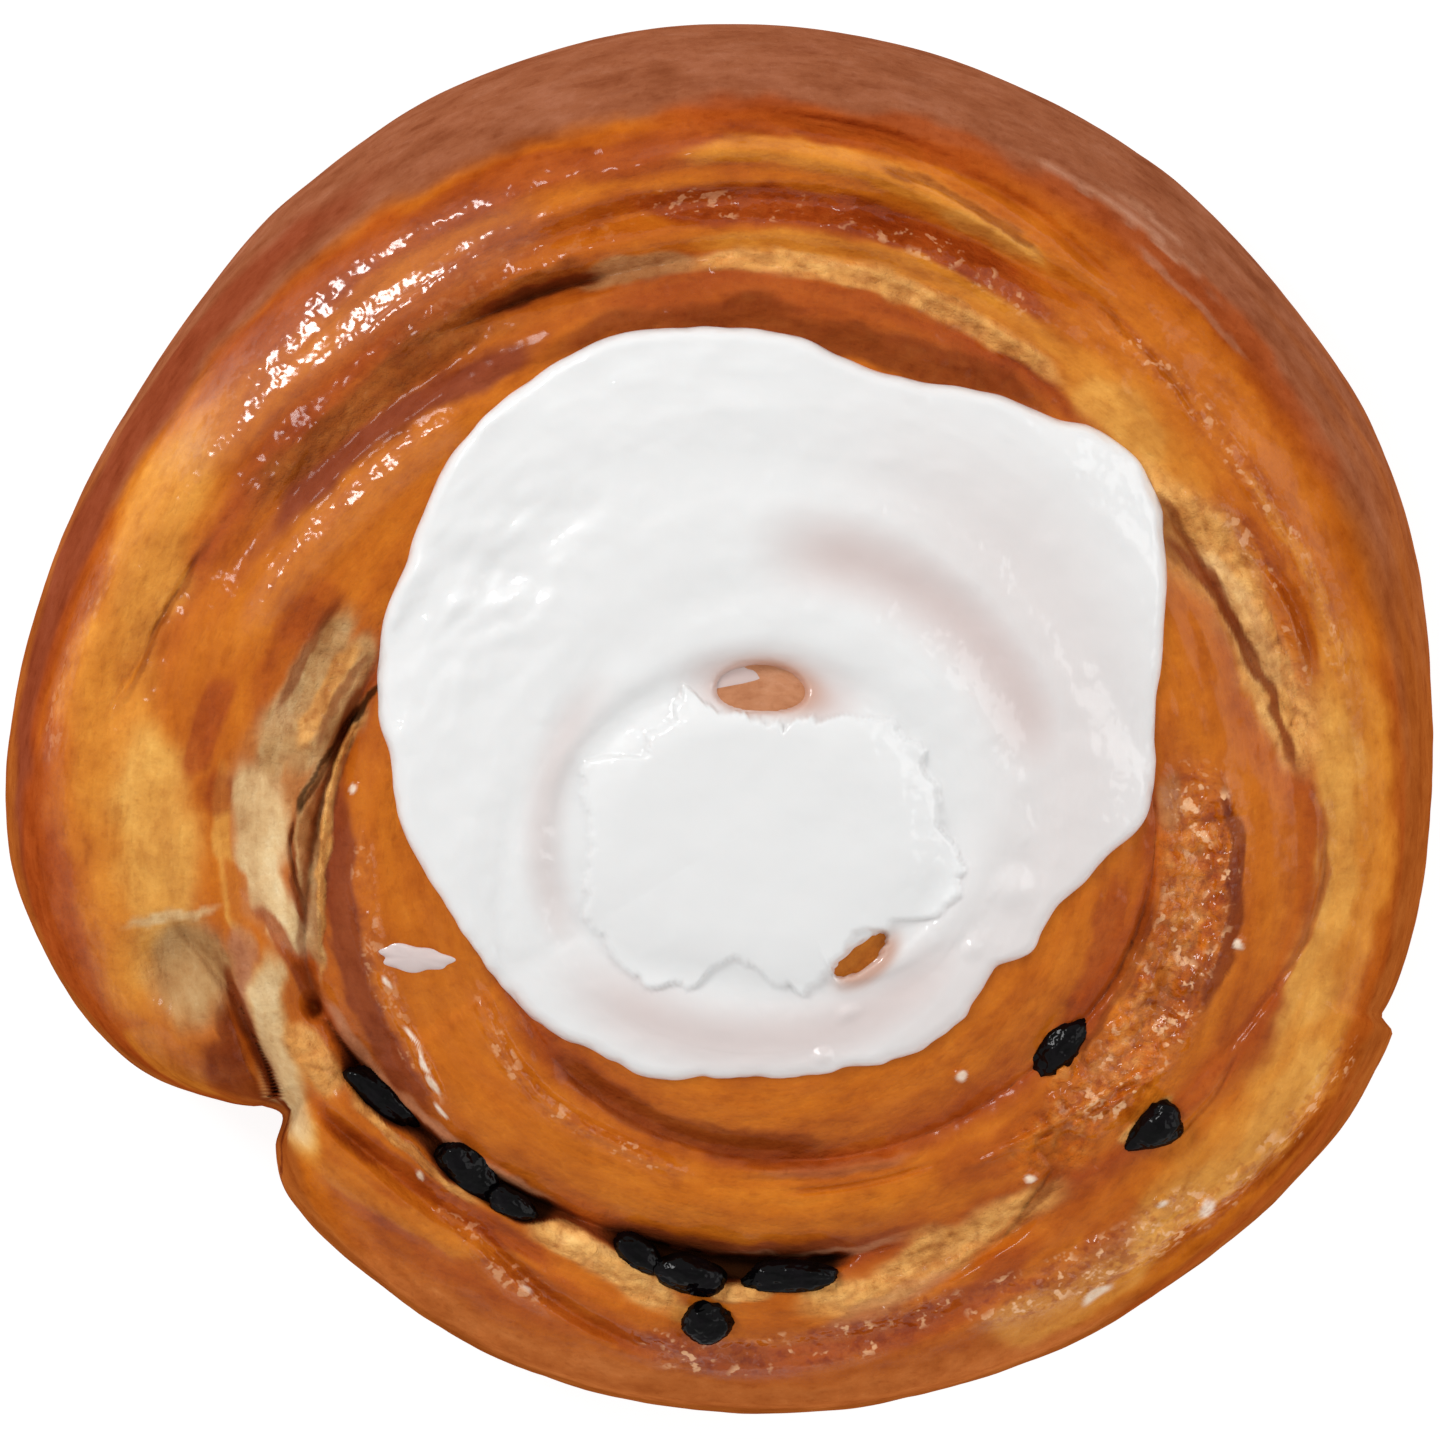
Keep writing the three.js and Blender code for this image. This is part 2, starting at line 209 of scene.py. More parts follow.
seam_radius = curve_through([
    (-SEAM_LEAD, 57), (0, 47), (11.5, 45.4), (20, 46.8), (31, 51.5), (40.5, 54.2),
    (54.5, 51.2), (71.5, 49.5), (100, 47.1), (121.5, 46.7), (131.5, 46.3), (151.5, 43.5),
    (181.5, 42.6), (201.5, 44), (211.5, 47), (226.5, 46.1), (246.5, 42.6), (261.5, 39.5),
    (281.5, 37.2), (321.5, 36), (346.5, 37.5), (371.5, 39.2), (385, 37.3), (401.5, 35.2),
    (441.5, 31.5), (481.5, 30), (531.5, 30.6), (556.5, 32), (571.5, 33), (591.5, 32.5),
    (616.5, 30.4), (651.5, 28.3), (686.5, 26.5), (720, 24.2), (751.5, 20), (791.5, 18.2),
    (831.5, 18.9), (860.5, 21.9), (895, 23.7), (923.5, 24), (951.5, 20.5), (976.5, 17.5),
    (1001.5, 14.8), (1041.5, 13.7), (1071.5, 16), (1111.5, 16.3), (1171.5, 13),
    (1201.5, 12.6), (1261.5, 14.5), (1301.5, 16.3), (SEAM_END, 14.2),
])

seam_depth = curve_through([
    (-SEAM_LEAD, 3), (0, 5), (14, 3.5), (24, 0.8), (38, 0.8), (43, 2.2), (60, 3.2),
    (93, 5), (107, 5), (125, 4.2), (150, 3.6), (172, 2.2), (195, 3), (235, 2.5),
    (262, 3.6), (300, 5), (350, 5), (385, 6), (405, 4.5), (430, 1.5), (540, 1.5),
    (560, 3), (620, 4), (660, 3.5), (700, 3), (725, 2), (770, 0.9), (830, 1),
    (880, 2.6), (905, 2.2), (930, 1), (980, 1.5), (1010, 3), (1110, 3), (1200, 4.2),
    (1240, 3), (1310, 2.5), (SEAM_END, 0),
])

# How far the seam gapes, from a faint crease to a slit painted black as shade, by degrees wound

seam_gape = curve_through([
    (-8, 0.25), (0, 0.25), (14, 0.12), (22, 0), (91, 0), (95, 0.28), (103, 0.28), (107, 0),
    (168, 0), (174, 0.12), (186, 0.15), (196, 0), (288, 0), (294, 0.8), (317, 0.8),
    (321, 0.3), (328, 0.3), (332, 0.85), (342, 0.7), (348, 0.35),
    (353, 0.6), (357, 0.7), (364, 0.12), (382, 0.12), (390, 0.1),
    (408, 0.15), (416, 0), (575, 0), (584, 0.1), (596, 0.1), (606, 0), (735, 0),
    (SEAM_END, 0),
])

# How rounded the seam's bottom is, from sharp (3) to soft (0.4), by degrees wound

seam_floor = curve_through([
    (-8, 1.2), (0, 1), (14, 0.8), (24, 0.5), (60, 0.35), (88, 0.4), (96, 0.9), (104, 0.9),
    (110, 0.5), (170, 0.45), (180, 0.7), (205, 0.45), (220, 0.35), (288, 0.5), (294, 3),
    (318, 3), (323, 0.8), (330, 2), (357, 2), (366, 0.6), (385, 0.5), (408, 0.5),
    (418, 0.5), (560, 0.5), (575, 0.7), (604, 0.7), (630, 0.5), (SEAM_END, 0.6),
])

# Folds and troughs along a turn: from, to, radii evenly spaced on the way, half width, rise.
# They fade in and out over this share of their length.

FOLD_FADE = 0.25
FOLDS = [
    (44, 124, (51, 51.2, 51.4, 51.2, 50.4), 2, -1.7),
    (50, 116, (47.6, 48.4, 48.6, 48.4), 1.6, 0.6),
    (50, 94, (52, 55, 57.6, 58.3), 1.1, -1),
    (54, 106, (51.2, 52.6, 54.4, 55.6, 55), 1.5, 0.9),
    (6, 36, (46.5, 45.6, 45), 1.8, -1),
    (-42, 16, (34.5, 36.8, 37, 36.5, 35), 3.2, -1.5),
    (320, 344, (50.8, 51.9, 52.6, 55.2), 1, -0.7),
    (207, 266, (44.3, 42.3, 41.2, 43.8, 45.6), 1.2, -1.5),
    (236, 266, (38.8, 40, 41), 2.2, -1),
    (262, 304, (43.8, 43.8, 43.8), 1.8, -0.8),
    (280, 308, (39.2, 39.2, 39.8), 1.8, -0.7),
    (150, 171, (37.4, 37.8, 38.6), 3.5, -1.3),
    (168, 195, (41, 42.5, 42), 3.5, -1),
]

# Hollows: angle, radius, half length, half width, rise

HOLLOWS = [
    (193.5, 50, 5, 5.5, -2.8),
    (203, 41.5, 6, 4, -1.8),
    (202.5, 39.8, 1.6, 1.2, -2.5),
]

# Finer creases, lips and ridges, in the form of the folds

CREASES = [
    (100, 160, (53.2, 53.7, 54.5, 56, 58), 3.5, -0.6),
    (-45, 12, (40.6, 43, 45.4, 46.6, 46.6, 44.6), 1.8, 0.8),
    (-52, 14, (30, 31.5, 32.6, 33, 32.6), 2.2, 0.9),
    (116, 158, (48.4, 48.8, 49.6, 50.8), 2.2, 0.9),
    (112, 158, (45.3, 45.3, 46, 47.2, 48.4), 1.8, -0.8),
    (116, 166, (40.4, 41.2, 42.2, 43.6, 45.4), 2.4, 0.6),
    (158, 200, (37, 36.8, 37.8, 39.6), 2.6, 1.5),
    (66, 96, (57.2, 57.6, 58.2, 59.3), 1, -0.5),
    (62, 80, (51.8, 53.2, 54.4, 55.4), 0.45, -0.5),
    (40, 58, (48.8, 50, 50.8, 51.6), 0.45, -0.4),
    (60, 98, (50.9, 52.6, 54.6, 55.7, 55.3), 1.2, 0.5),
    (54, 99, (44.7, 45.2, 46.2, 46.7, 46.6), 0.8, 0.5),
    (150, 172, (50.7, 51.5, 52.6, 54.8), 0.45, -0.35),
    (160, 201, (33, 34.4, 35.2, 35.8, 36.4, 37.4, 38.9), 0.45, 0.8),
    (199, 243, (38.9, 38.4, 37.6, 36.8, 36, 36), 0.6, 0.6),
    (161, 180, (33.3, 34.7, 35.6, 36.8, 38.3), 0.5, -1.1),
    (178, 192, (38, 38.6, 38.4, 38), 0.4, -0.8),
    (189, 199, (49.2, 46.8, 45.6), 0.8, -0.8),
    (186, 199, (43.2, 41.4, 40, 39.3), 0.8, -0.4),
    (197, 213, (46.2, 45.8, 46.4, 47.4), 0.7, -0.6),
    (209, 247, (43.9, 42.8, 41.3, 40.3, 40.1, 40.6), 1.3, -0.9),
    (216, 240, (46.4, 45, 43.6, 43), 1.5, 0.5),
    (190, 227, (32.6, 33.3, 33.6, 33.8, 34.3, 35.5), 0.7, 0.45),
    (206, 263, (26.7, 27.4, 28.5, 29.1, 29, 29.3, 30), 0.7, 0.45),
    (228, 282, (25.4, 25.8, 26.4, 27, 27.6), 1.2, -0.7),
    (264, 298, (28.8, 29, 29.6, 30.6), 0.8, 0.6),
    (272, 300, (30.6, 31.2, 32), 0.5, -0.4),
    (300, 312, (40.2, 38.6, 37.6), 0.5, -0.5),
    (290, 308, (41.2, 40.4, 39.8), 0.9, -0.6),
    (-27, 3, (43.2, 44.7, 46.6, 47.2, 47), 0.5, -0.3),
    (3, 24, (46.8, 45.2, 43.8, 42.8), 0.4, -0.35),
    (306, 341, (48.8, 49.6, 51.1, 52.8, 54.4), 0.55, -0.5),
    (306, 341, (47.6, 48.4, 49.9, 51.6, 53.2), 1, 0.5),
    (322, 336, (43.2, 44.2, 44.4), 0.45, -0.4),
    (12, 35, (47.4, 48.1, 47.9, 47, 46.6), 1, -0.8),
    (10, 38, (49.9, 50.1, 49.9, 49.6, 49.5), 0.8, 0.5),
    (304, 330, (33.2, 35.4, 38.6), 0.45, 0.5),
    (306, 330, (34.2, 36.6, 39.8), 0.4, 0.4),
    (300, 324, (33.2, 34.8, 37), 0.5, 0.4),
    (50, 66, (58.4, 59.3, 59.8), 0.5, 0.35),
    (54, 68, (60.6, 61.2, 61.2), 0.5, -0.35),
    (44, 60, (56.6, 57.4, 58), 0.5, -0.3),
]

# Drops and small lumps of glaze, in the form of the hollows

DROPS = [
    (307.6, 37.4, 0.9, 0.8, 0.5),
    (308.8, 26.8, 0.9, 0.8, 0.5),
    (319.5, 49.3, 1.6, 1.1, 0.6),
    (317, 46.1, 0.9, 0.8, 0.5),
    (305.8, 48.6, 2.6, 0.8, 0.45),
    (346, 41.2, 0.8, 0.8, 0.45),
    (226, 40.5, 0.9, 0.7, 0.5),
    (215.4, 34, 2.4, 0.5, 0.4),
    (222, 35.2, 1.6, 0.5, 0.35),
    (203, 33.4, 1.2, 0.6, 0.35),
    (175, 33.3, 0.8, 0.6, 0.4),
    (212, 33.6, 2.2, 0.5, 0.4),
    (218.5, 34.4, 1.8, 0.45, 0.35),
    (244, 43.4, 1.2, 0.5, 0.35),
]

# Where the glaze stands in beads and sparkles, in the form of the folds, with the share of it

WET = [
    (102, 156, (53, 53.6, 54.5, 56, 58), 6, 0.2),
    (96, 134, (51.5, 50.5, 50.4), 3, 0.35),
    (122, 166, (40.6, 41.8, 43, 45.6), 3, 0.25),
    (56, 106, (46.9, 49, 50.7, 51, 53.4), 2.2, 0.6),
    (8, 40, (45.4, 46.4, 46.8, 46.4, 44.4), 1.8, 0.6),
    (8, 62, (49.9, 50, 49.8, 50, 51), 1.8, 0.6),
    (154, 178, (57.4, 58, 58.6, 59), 1.6, 0.4),
    (-50, 14, (35.6, 36.4, 36.8, 37.2, 37, 36), 4.8, 1),
    (176, 228, (32.2, 32.8, 33.4, 33.8, 34.6, 35.8), 1.8, 0.5),
    (205, 264, (26.7, 27.4, 28.5, 29.1, 29, 29.3, 30), 1.4, 0.6),
    (226, 250, (40.4, 41, 43, 43.4), 2, 0.6),
    (252, 298, (43.4, 44.6, 44.3, 43.9, 43, 42.4), 2.8, 0.8),
    (290, 324, (43.6, 45.4, 47.2, 48.6), 3.4, 0.9),
    (312, 344, (48.6, 50, 51.6, 53.4), 2.2, 0.65),
]

# The outer turn's skin grows this wet over this range of radii

CRINKLE = 0.14
CRINKLE_RANGE = (44, 49)

# Where the glaze shines most, in the form of the folds, with the share of it

GLARE = [
    (104, 154, (53, 53.6, 54.6, 56.2), 5.5, 0.8),
    (122, 164, (40.6, 41.8, 43.4, 45.6), 3, 0.6),
]

# Skins of the dough: colour, gloss and coarseness, each from 0 to 1

SKINS = {
    "orange": ((0.565, 0.137, 0.009), 1, 0),
    "amber": ((0.62, 0.166, 0.01), 1, 0),
    "gold": ((0.72, 0.252, 0.028), 0.8, 0.05),
    "straw": ((0.8, 0.375, 0.074), 0.6, 0.1),
    "rust": ((0.39, 0.066, 0.008), 1, 0.2),
    "brown": ((0.24, 0.044, 0.009), 0.3, 0.25),
    "umber": ((0.33, 0.083, 0.013), 0.4, 0.5),
    "mauve": ((0.27, 0.055, 0.02), 0.4, 0.1),
    "rose": ((0.5, 0.2, 0.095), 0.1, 0.1),
    "tan": ((0.55, 0.31, 0.125), 0, 0.45),
    "crumb": ((0.85, 0.41, 0.112), 0.2, 0.7),
    "cream": ((0.81, 0.55, 0.27), 0, 0.1),
    "sugar": ((0.65, 0.155, 0.009), 0.6, 1),
    "wall": ((0.385, 0.095, 0.015), 0.1, 0.15),
    # A painted sheen of the sky on the matte side
    "painted_sheen": ((0.32, 0.1, 0.043), 0, 0.2),
    # Painted highlights for the crests of the side's wrinkles
    "pale": ((0.46, 0.2, 0.11), 0.2, 0.3),
    "pocket": ((0.52, 0.29, 0.115), 0, 0.1),
    "foot": ((0.55, 0.15, 0.033), 0.1, 0.15),
    # A painted glint for the drops of glaze
    "painted_glint": ((0.95, 0.74, 0.56), 0.6, 0),
    "peach": ((0.58, 0.26, 0.13), 0.2, 0),
    # Painted shade for the black gaps and the crevice
    "shadow": ((0.035, 0.01, 0.003), 0, 0),
}

# Where the matte side of the outer turn begins

side_start = curve_through([
    (0, 53), (30, 55), (60, 56.8), (90, 58.8), (120, 59.3), (141, 59.4), (160, 60.2), (180, 60.6),
    (195, 58), (205, 52), (211.5, 45), (220, 48.8), (240, 48.8), (270, 48.3),
    (300, 49.8), (330, 53), (345, 53.5),
], 360)

# Strokes at least this wide have looser edges, and all taper over this share of their length

WIDE_STROKE = 2.4
STROKE_TAPER = 0.3

# Strokes of skin along the turns, each over the ones before:
# skin, from, to, radii evenly spaced on the way, half width, strength

STROKES = [
    ("mauve", 112, 206, (65, 64, 63.6, 63.4, 63, 60, 55), 4.8, 1),
    ("rust", 172, 216, (60.5, 60.3, 59.4, 57, 52.4, 48), 5.6, 0.85),
    ("rust", 212, 264, (46, 44.6, 43.4, 42.6), 3, 0.6),
    ("rust", 150, 182, (59, 59.6, 60), 2.6, 0.7),
    ("rust", 20, 112, (54, 56.4, 57.6, 58.2, 58.4), 2.6, 0.7),
    ("rust", 82, 150, (55.4, 56, 57.2, 58.4), 3.2, 0.85),
    ("rust", 210, 312, (47.2, 46.8, 46.6, 47, 48), 3.6, 0.5),
    ("rust", 330, 380, (52.4, 52.6, 53, 54), 2.2, 0.6),
    ("rust", 300, 342, (52.8, 54, 55, 56), 3, 0.5),
    ("rust", 96, 152, (52.6, 51.8, 51.2, 51, 51.4), 2.2, 0.45),
    ("gold", 138, 180, (56, 55.2, 54.4, 54.4), 5, 0.8),
    ("straw", 143, 168, (55.4, 55, 54), 4, 0.3),
    ("umber", 112, 152, (48, 47.9, 48, 48.3, 49), 3, 0.9),
    ("rust", 110, 146, (49.8, 49.8, 50, 50.2), 1, 0.5),
    ("mauve", 110, 158, (43.6, 43.8, 44.6, 45.8, 47.6), 2.6, 1),
    ("amber", 118, 166, (40.4, 41.2, 42.4, 44, 46), 3, 0.8),
    # Painted shade in a thin crease
    ("brown", 150, 174, (50.6, 51.4, 52.4, 54.8), 0.5, 0.6),
    ("rust", 148, 172, (40, 40.6, 42.2), 3, 0.5),
    ("gold", 164, 202, (53, 52, 51.6, 51.6), 6.4, 0.85),
    ("straw", 168, 198, (50.2, 50, 50, 50), 5.4, 0.85),
    ("rust", 163, 177, (45.2, 46.2, 47), 1.8, 0.8),
    ("gold", 196, 209, (55, 54, 51), 3, 0.5),
    ("wall", 198, 214, (52.5, 50, 48), 3.4, 0.6),
    ("rust", 66, 100, (56.8, 57.3, 57.9, 58.8), 1.6, 0.7),
    ("gold", 58, 100, (50.9, 52.6, 54.6, 55.7, 55.3), 1.7, 0.85),
    ("straw", 62, 74, (51.6, 53), 1, 0.5),
    ("rust", 54, 108, (47.4, 49.4, 50.7, 51, 53.6), 2.3, 1),
    ("gold", 52, 100, (45.8, 46.6, 47.6, 48, 48.2), 1.4, 0.85),
    ("crumb", 50, 102, (44.2, 44.7, 45.8, 46.4, 46.5), 1.5, 0.95),
    ("tan", 95, 110, (46.6, 46.9, 47.2), 1.4, 0.6),
    # Painted shade round the slit
    ("umber", 106, 118, (48, 48), 1.4, 0.8),
    ("rust", 56, 112, (41.4, 42.6, 43.4, 43.8, 44.2), 2.4, 0.75),
    # Painted shadow of the icing's back edge on the dough
    ("brown", 46, 122, (41.8, 40.6, 40.6, 42, 42.4), 2.6, 0.9),
    # Painted shade in thin creases
    ("brown", 62, 81, (51.9, 53.4, 54.5, 55.4), 0.6, 0.6),
    ("brown", 42, 58, (49.4, 50.4, 51.4), 0.5, 0.4),
    ("amber", 36, 58, (47.4, 48.6, 49.4), 4, 0.6),
    ("gold", 32, 62, (45.2, 45.2, 46, 46.6), 3.4, 0.75),
    ("straw", 38, 56, (44.6, 45, 45.6), 2.6, 0.55),
    ("gold", -34, 26, (47, 49.2, 50, 50, 50.2), 4.4, 0.85),
    ("straw", -34, 18, (46.8, 48, 48.4, 48.4), 3, 0.7),
    ("crumb", 2, 45, (46, 45.2, 44.4, 43.4, 43), 4.2, 1),
    ("cream", 12, 34, (44.4, 43.6, 43), 2, 0.3),
    ("orange", 12, 26, (46.8, 46.4), 1, 0.7),
    ("rust", 12, 35, (47.6, 48.2, 48, 47.2), 1, 0.6),
    ("gold", 8, 39, (49.9, 50.1, 49.9, 49.6), 0.9, 0.7),
    # Painted shade along the inner side of the crumb strip, up to the icing's edge
    ("brown", 26, 41, (42.2, 41.6, 41.4), 1.4, 0.6),
    ("brown", 2, 38, (45.4, 43.8, 42.4, 41.4), 0.8, 0.9),
    ("rust", -27, 4, (43.3, 44.8, 46.6, 47.2, 46.8), 0.7, 0.6),
    ("gold", 310, 344, (46.2, 47.6, 49.4, 50.6), 4.4, 0.9),
    ("straw", 306, 342, (46, 47.6, 49.4, 50.6), 3, 0.6),
    ("rust", 308, 341, (49, 49.8, 51.3, 53, 54.4), 0.8, 0.5),
    ("rust", 306, 316, (44.6, 45), 2.4, 0.5),
    ("tan", 162, 184, (39.8, 40, 41), 3.8, 0.5),
    ("tan", 150, 178, (37.6, 38.8, 39.8, 41.2), 2.3, 1),
    ("tan", 152, 176, (35.2, 36.2, 37.4, 38.6), 2.3, 1),
    ("brown", 150, 168, (39, 39.8, 40.6), 0.8, 0.7),
    ("crumb", 154, 172, (36, 37, 38.4), 1.2, 0.8),
    # Painted shade along the crevice
    ("brown", 155, 171, (34.6, 35.8, 37), 0.6, 0.6),
    ("cream", 170, 199, (42.2, 41.2, 40.4, 39.6), 3.4, 1),
    ("straw", 172, 196, (44.4, 44.2, 43.2), 1.1, 0.7),
    ("rose", 191, 204, (44.4, 44.2, 44.6, 45.4), 1.3, 0.8),
    # Painted shade along the pocket's edge and the lobe's inner edge
    ("brown", 190, 201, (45.7, 45.7, 46), 0.5, 0.7),
    ("brown", 197, 213, (46.6, 47.4, 48), 1.3, 0.85),
    ("straw", 193, 219, (42.6, 43.2, 44.2, 45.6, 47), 2.6, 1),
    ("cream", 193, 217, (42.4, 43.1, 44.2, 45.4, 46.6), 2.5, 1),
    ("crumb", 202, 214, (42, 41.2), 2, 0.8),
    ("orange", 183, 194, (44.2, 42.2), 1.4, 0.8),
    ("rust", 188, 202, (42.2, 40.8, 39.8, 39.2), 1.2, 0.8),
    # Painted shade in the small hole
    ("brown", 196, 203, (39.8, 39.2), 1.2, 0.7),
    ("foot", 214, 318, (49.8, 49, 48.8, 49.4, 51), 3.6, 1),
    ("rust", 208, 250, (43.9, 42.8, 41.3, 40.3, 40.1, 40.6), 1.5, 0.8),
    ("gold", 214, 240, (46.6, 45, 43.4, 42.8), 1.4, 0.4),
    ("crumb", 211, 236, (40.7, 39.9, 39.1, 39), 0.6, 0.8),
    ("mauve", 168, 228, (34.7, 34.6, 35, 35.8, 36, 36), 1.9, 0.9),
    ("rose", 198, 246, (38.6, 38.2, 37.6, 36.8, 36, 36), 0.9, 0.85),
    ("tan", 159, 194, (33.6, 35.2, 36.4, 37.4, 37.8), 1.8, 1),
    # Painted shade down the crevice
    ("umber", 159, 190, (33.8, 35.4, 37, 38), 1, 0.7),
    ("crumb", 161, 203, (33, 34.4, 35.2, 35.8, 36.4, 37.4, 38.9), 0.55, 0.95),
    ("tan", 184, 200, (37.6, 37.4, 38), 0.9, 0.7),
    ("mauve", 244, 296, (35, 35.6, 35.7, 35.9, 36.2), 1.2, 0.7),
    ("rose", 246, 294, (35.6, 36.1, 36.2, 36.4, 36.8), 0.6, 0.85),
    ("rust", 246, 314, (42.8, 44.4, 44.2, 44, 43, 42.4), 2.4, 0.85),
    ("crumb", 238, 263, (38, 37.9, 38.4, 39.8, 41.2), 2, 1),
    ("crumb", 263, 273, (38.8, 39), 1.2, 0.9),
    ("crumb", 272, 312, (41.2, 39.8, 38.8, 38.6, 39), 2.9, 1),
    ("rose", 276, 296, (42.4, 41.2, 40.4), 1.2, 0.5),
    # Painted shade in a thin crease
    ("brown", 302, 312, (40, 38.8, 37.8), 0.7, 0.6),
    ("crumb", 318, 327, (40.3, 41), 0.9, 0.9),
    ("amber", 226, 300, (31.4, 32, 32.6, 33), 3, 0.8),
    # Painted shade in the groove beside the icing's front edge
    ("brown", 222, 290, (25.2, 25.6, 26.2, 27, 27.8), 1.8, 0.7),
    ("rose", 268, 298, (29, 29.2, 29.8, 30.6), 0.7, 0.2),
    ("rust", 318, 356, (31.4, 31.2, 30.6, 29.8), 2, 0.75),
    ("rust", 294, 322, (33, 33.2, 34), 2.4, 0.6),
    ("straw", 290, 320, (46.4, 47.6, 49), 2.4, 0.42),
    ("sugar", 300, 372, (34.6, 36, 36.6, 36.8, 37, 36), 5.2, 1),
    ("crumb", 308, 368, (34.6, 35.8, 36.2, 36.4, 36), 1.8, 0.2),
    ("brown", 334, 368, (39.8, 40.4, 40, 38.4), 1, 0.9),
    ("brown", 318, 352, (32, 33, 33.4, 33.6), 0.7, 0.7),
    ("amber", 312, 340, (38.4, 39.6, 41), 1.6, 0.4),
    # Painted highlights on the crests of the side's wrinkles
    ("pale", 46, 70, (57.4, 58.6, 59.4, 60), 0.7, 0.8),
    ("pale", 50, 64, (60.4, 61, 61.2), 0.5, 0.7),
    ("pale", 42, 58, (55.6, 56.4, 57), 0.5, 0.5),
    # Painted shade in the crevice on the left: black, then brown
    ("shadow", 158, 170, (32.9, 33.7, 34.6, 35.5), 0.55, 0.9),
    ("shadow", 167, 181, (35, 36.4, 37.4, 38), 0.32, 0.75),
    ("brown", 178, 194, (38, 38.6, 38.4, 38.2), 0.4, 0.8),
]

# Spots of skin: skin, angle, radius, half length, half width, strength

SPOTS = [
    ("tan", 195.2, 48.8, 6.2, 5, 0.65),
    ("pocket", 194, 48.4, 5.8, 4.8, 1),
    ("cream", 188.9, 49.2, 0.7, 5.6, 0.8),
    ("rose", 194, 43.8, 3.4, 1.3, 0.8),
    # Painted shade at the pocket's right edge and at the lobe's end
    ("brown", 197, 45.7, 2.6, 0.6, 0.7),
    ("brown", 205, 48.6, 4.4, 2.8, 0.95),
    ("rust", 156, 41.5, 3.5, 2.6, 0.6),
    ("rust", 177, 44.6, 3, 2, 0.7),
    ("straw", 262, 41.2, 2, 1.2, 0.5),
    ("brown", 354, 40.2, 4, 0.9, 0.9),
    ("brown", 342, 39, 4, 0.8, 0.6),
    ("tan", 3, 34.4, 3.6, 1.6, 0.4),
    ("peach", 88, 11.2, 8, 5, 1),
    ("gold", 308.4, 14.2, 5, 3, 0.6),
]

# How the skins cover the dough: shares from 0 to 1, ranges over which they rise, and how
# sharp the edges of strokes and spots are

AMBER_SHARE = 0.5
AMBER_TONES = (-0.5, 0.5)
# Near the seams: rust, partly baked colour and partly painted shade, and brown painted as shade where
# they sink deepest
SEAM_RUST_AND_SHADE = 0.9
RUST_TONE = 0.3
DEEP_SEAM_SHADE = 0.5
DEEP_RANGE = (1.6, 3.4)
SIDE_RANGE = (-1, 1)
GLOSS_END = (-4, 0)
# Painted sheen on the side that faces the back
SHEEN_START = 0.125
SHEEN_RISE = 1.6
SHEEN_TONE = 0.3
STROKE_EDGE = 2
WIDE_EDGE = 1.6
SPOT_EDGE = 1.8
PAINTED_GLINT_RANGE = (0.3, 0.8)
SPECKLE_RANGE = (0.0625, 0.6875)
CRUMB_SPECKLE = 0.4
RUST_SPECKLE = 0.5
# Painted shade in the creases between the crumb's lumps
LUMP_CREASE_SHADE = 0.5
LUMP_CREASE = 0.3
# Where the seams gape: painted shade, brown and then black
GAP_SHADE_BROWN = (0, 0.2)
GAP_SHADOW = (2 / 13, 7 / 13)

# The glaze's film on dry and on wet skin, the gloss at which wet skin holds all of it, and
# how sharp the edges of wet and glaring bands are

DRY_FILM = 0.17
WET_FILM = 0.24
WET_GLOSS = 1 / 3
WET_EDGE = 1.6
GLARE_EDGE = 1.3

# Where the gloss and the coarseness stand after the colour in a skin's five numbers

GLOSS = 3
COARSE = 4


# Shape of the dough


def wall_outline(angle):
    past = np.mod(angle - TEAR["angle"], 360)
    opened = soft_step(past / TEAR["opening"]) * np.exp(-past / TEAR["healing"])
    return outline(angle) - TEAR["depth"] * opened


def wall_radius(angle, z):
    widest = GIRTH_HEIGHT - BULGE * math.sin(VIEW_TILT) * np.sin(np.radians(angle))
    foot = np.clip(z / FOOT_FILLET, 0, 1)
    rounding = FOOT_FILLET * (1 - np.sqrt(1 - (1 - foot) ** 2))
    return wall_outline(angle) - (z - widest) ** 2 / (2 * BULGE) - rounding


def shoulder_radius(angle):
    return wall_radius(angle, CROWN_HEIGHT - RIM_FALL - SHOULDER_DROP)


def whole_shoulder(angle):
    """The shoulder's radius without the tear."""
    return shoulder_radius(angle) - wall_outline(angle) + outline(angle)


def seam_passes(angle):
    """The seam's passes at each angle, outermost first: radius (or nan) and degrees wound."""
    wound = np.mod(TAIL_ANGLE - angle, 360)
    passes = []
    for lap in SEAM_LAPS:
        turn = wound + 360 * lap
        there = (turn > -SEAM_LEAD) & (turn < SEAM_END)
        passes.append((np.where(there, seam_radius(turn), np.nan), turn))
    return passes


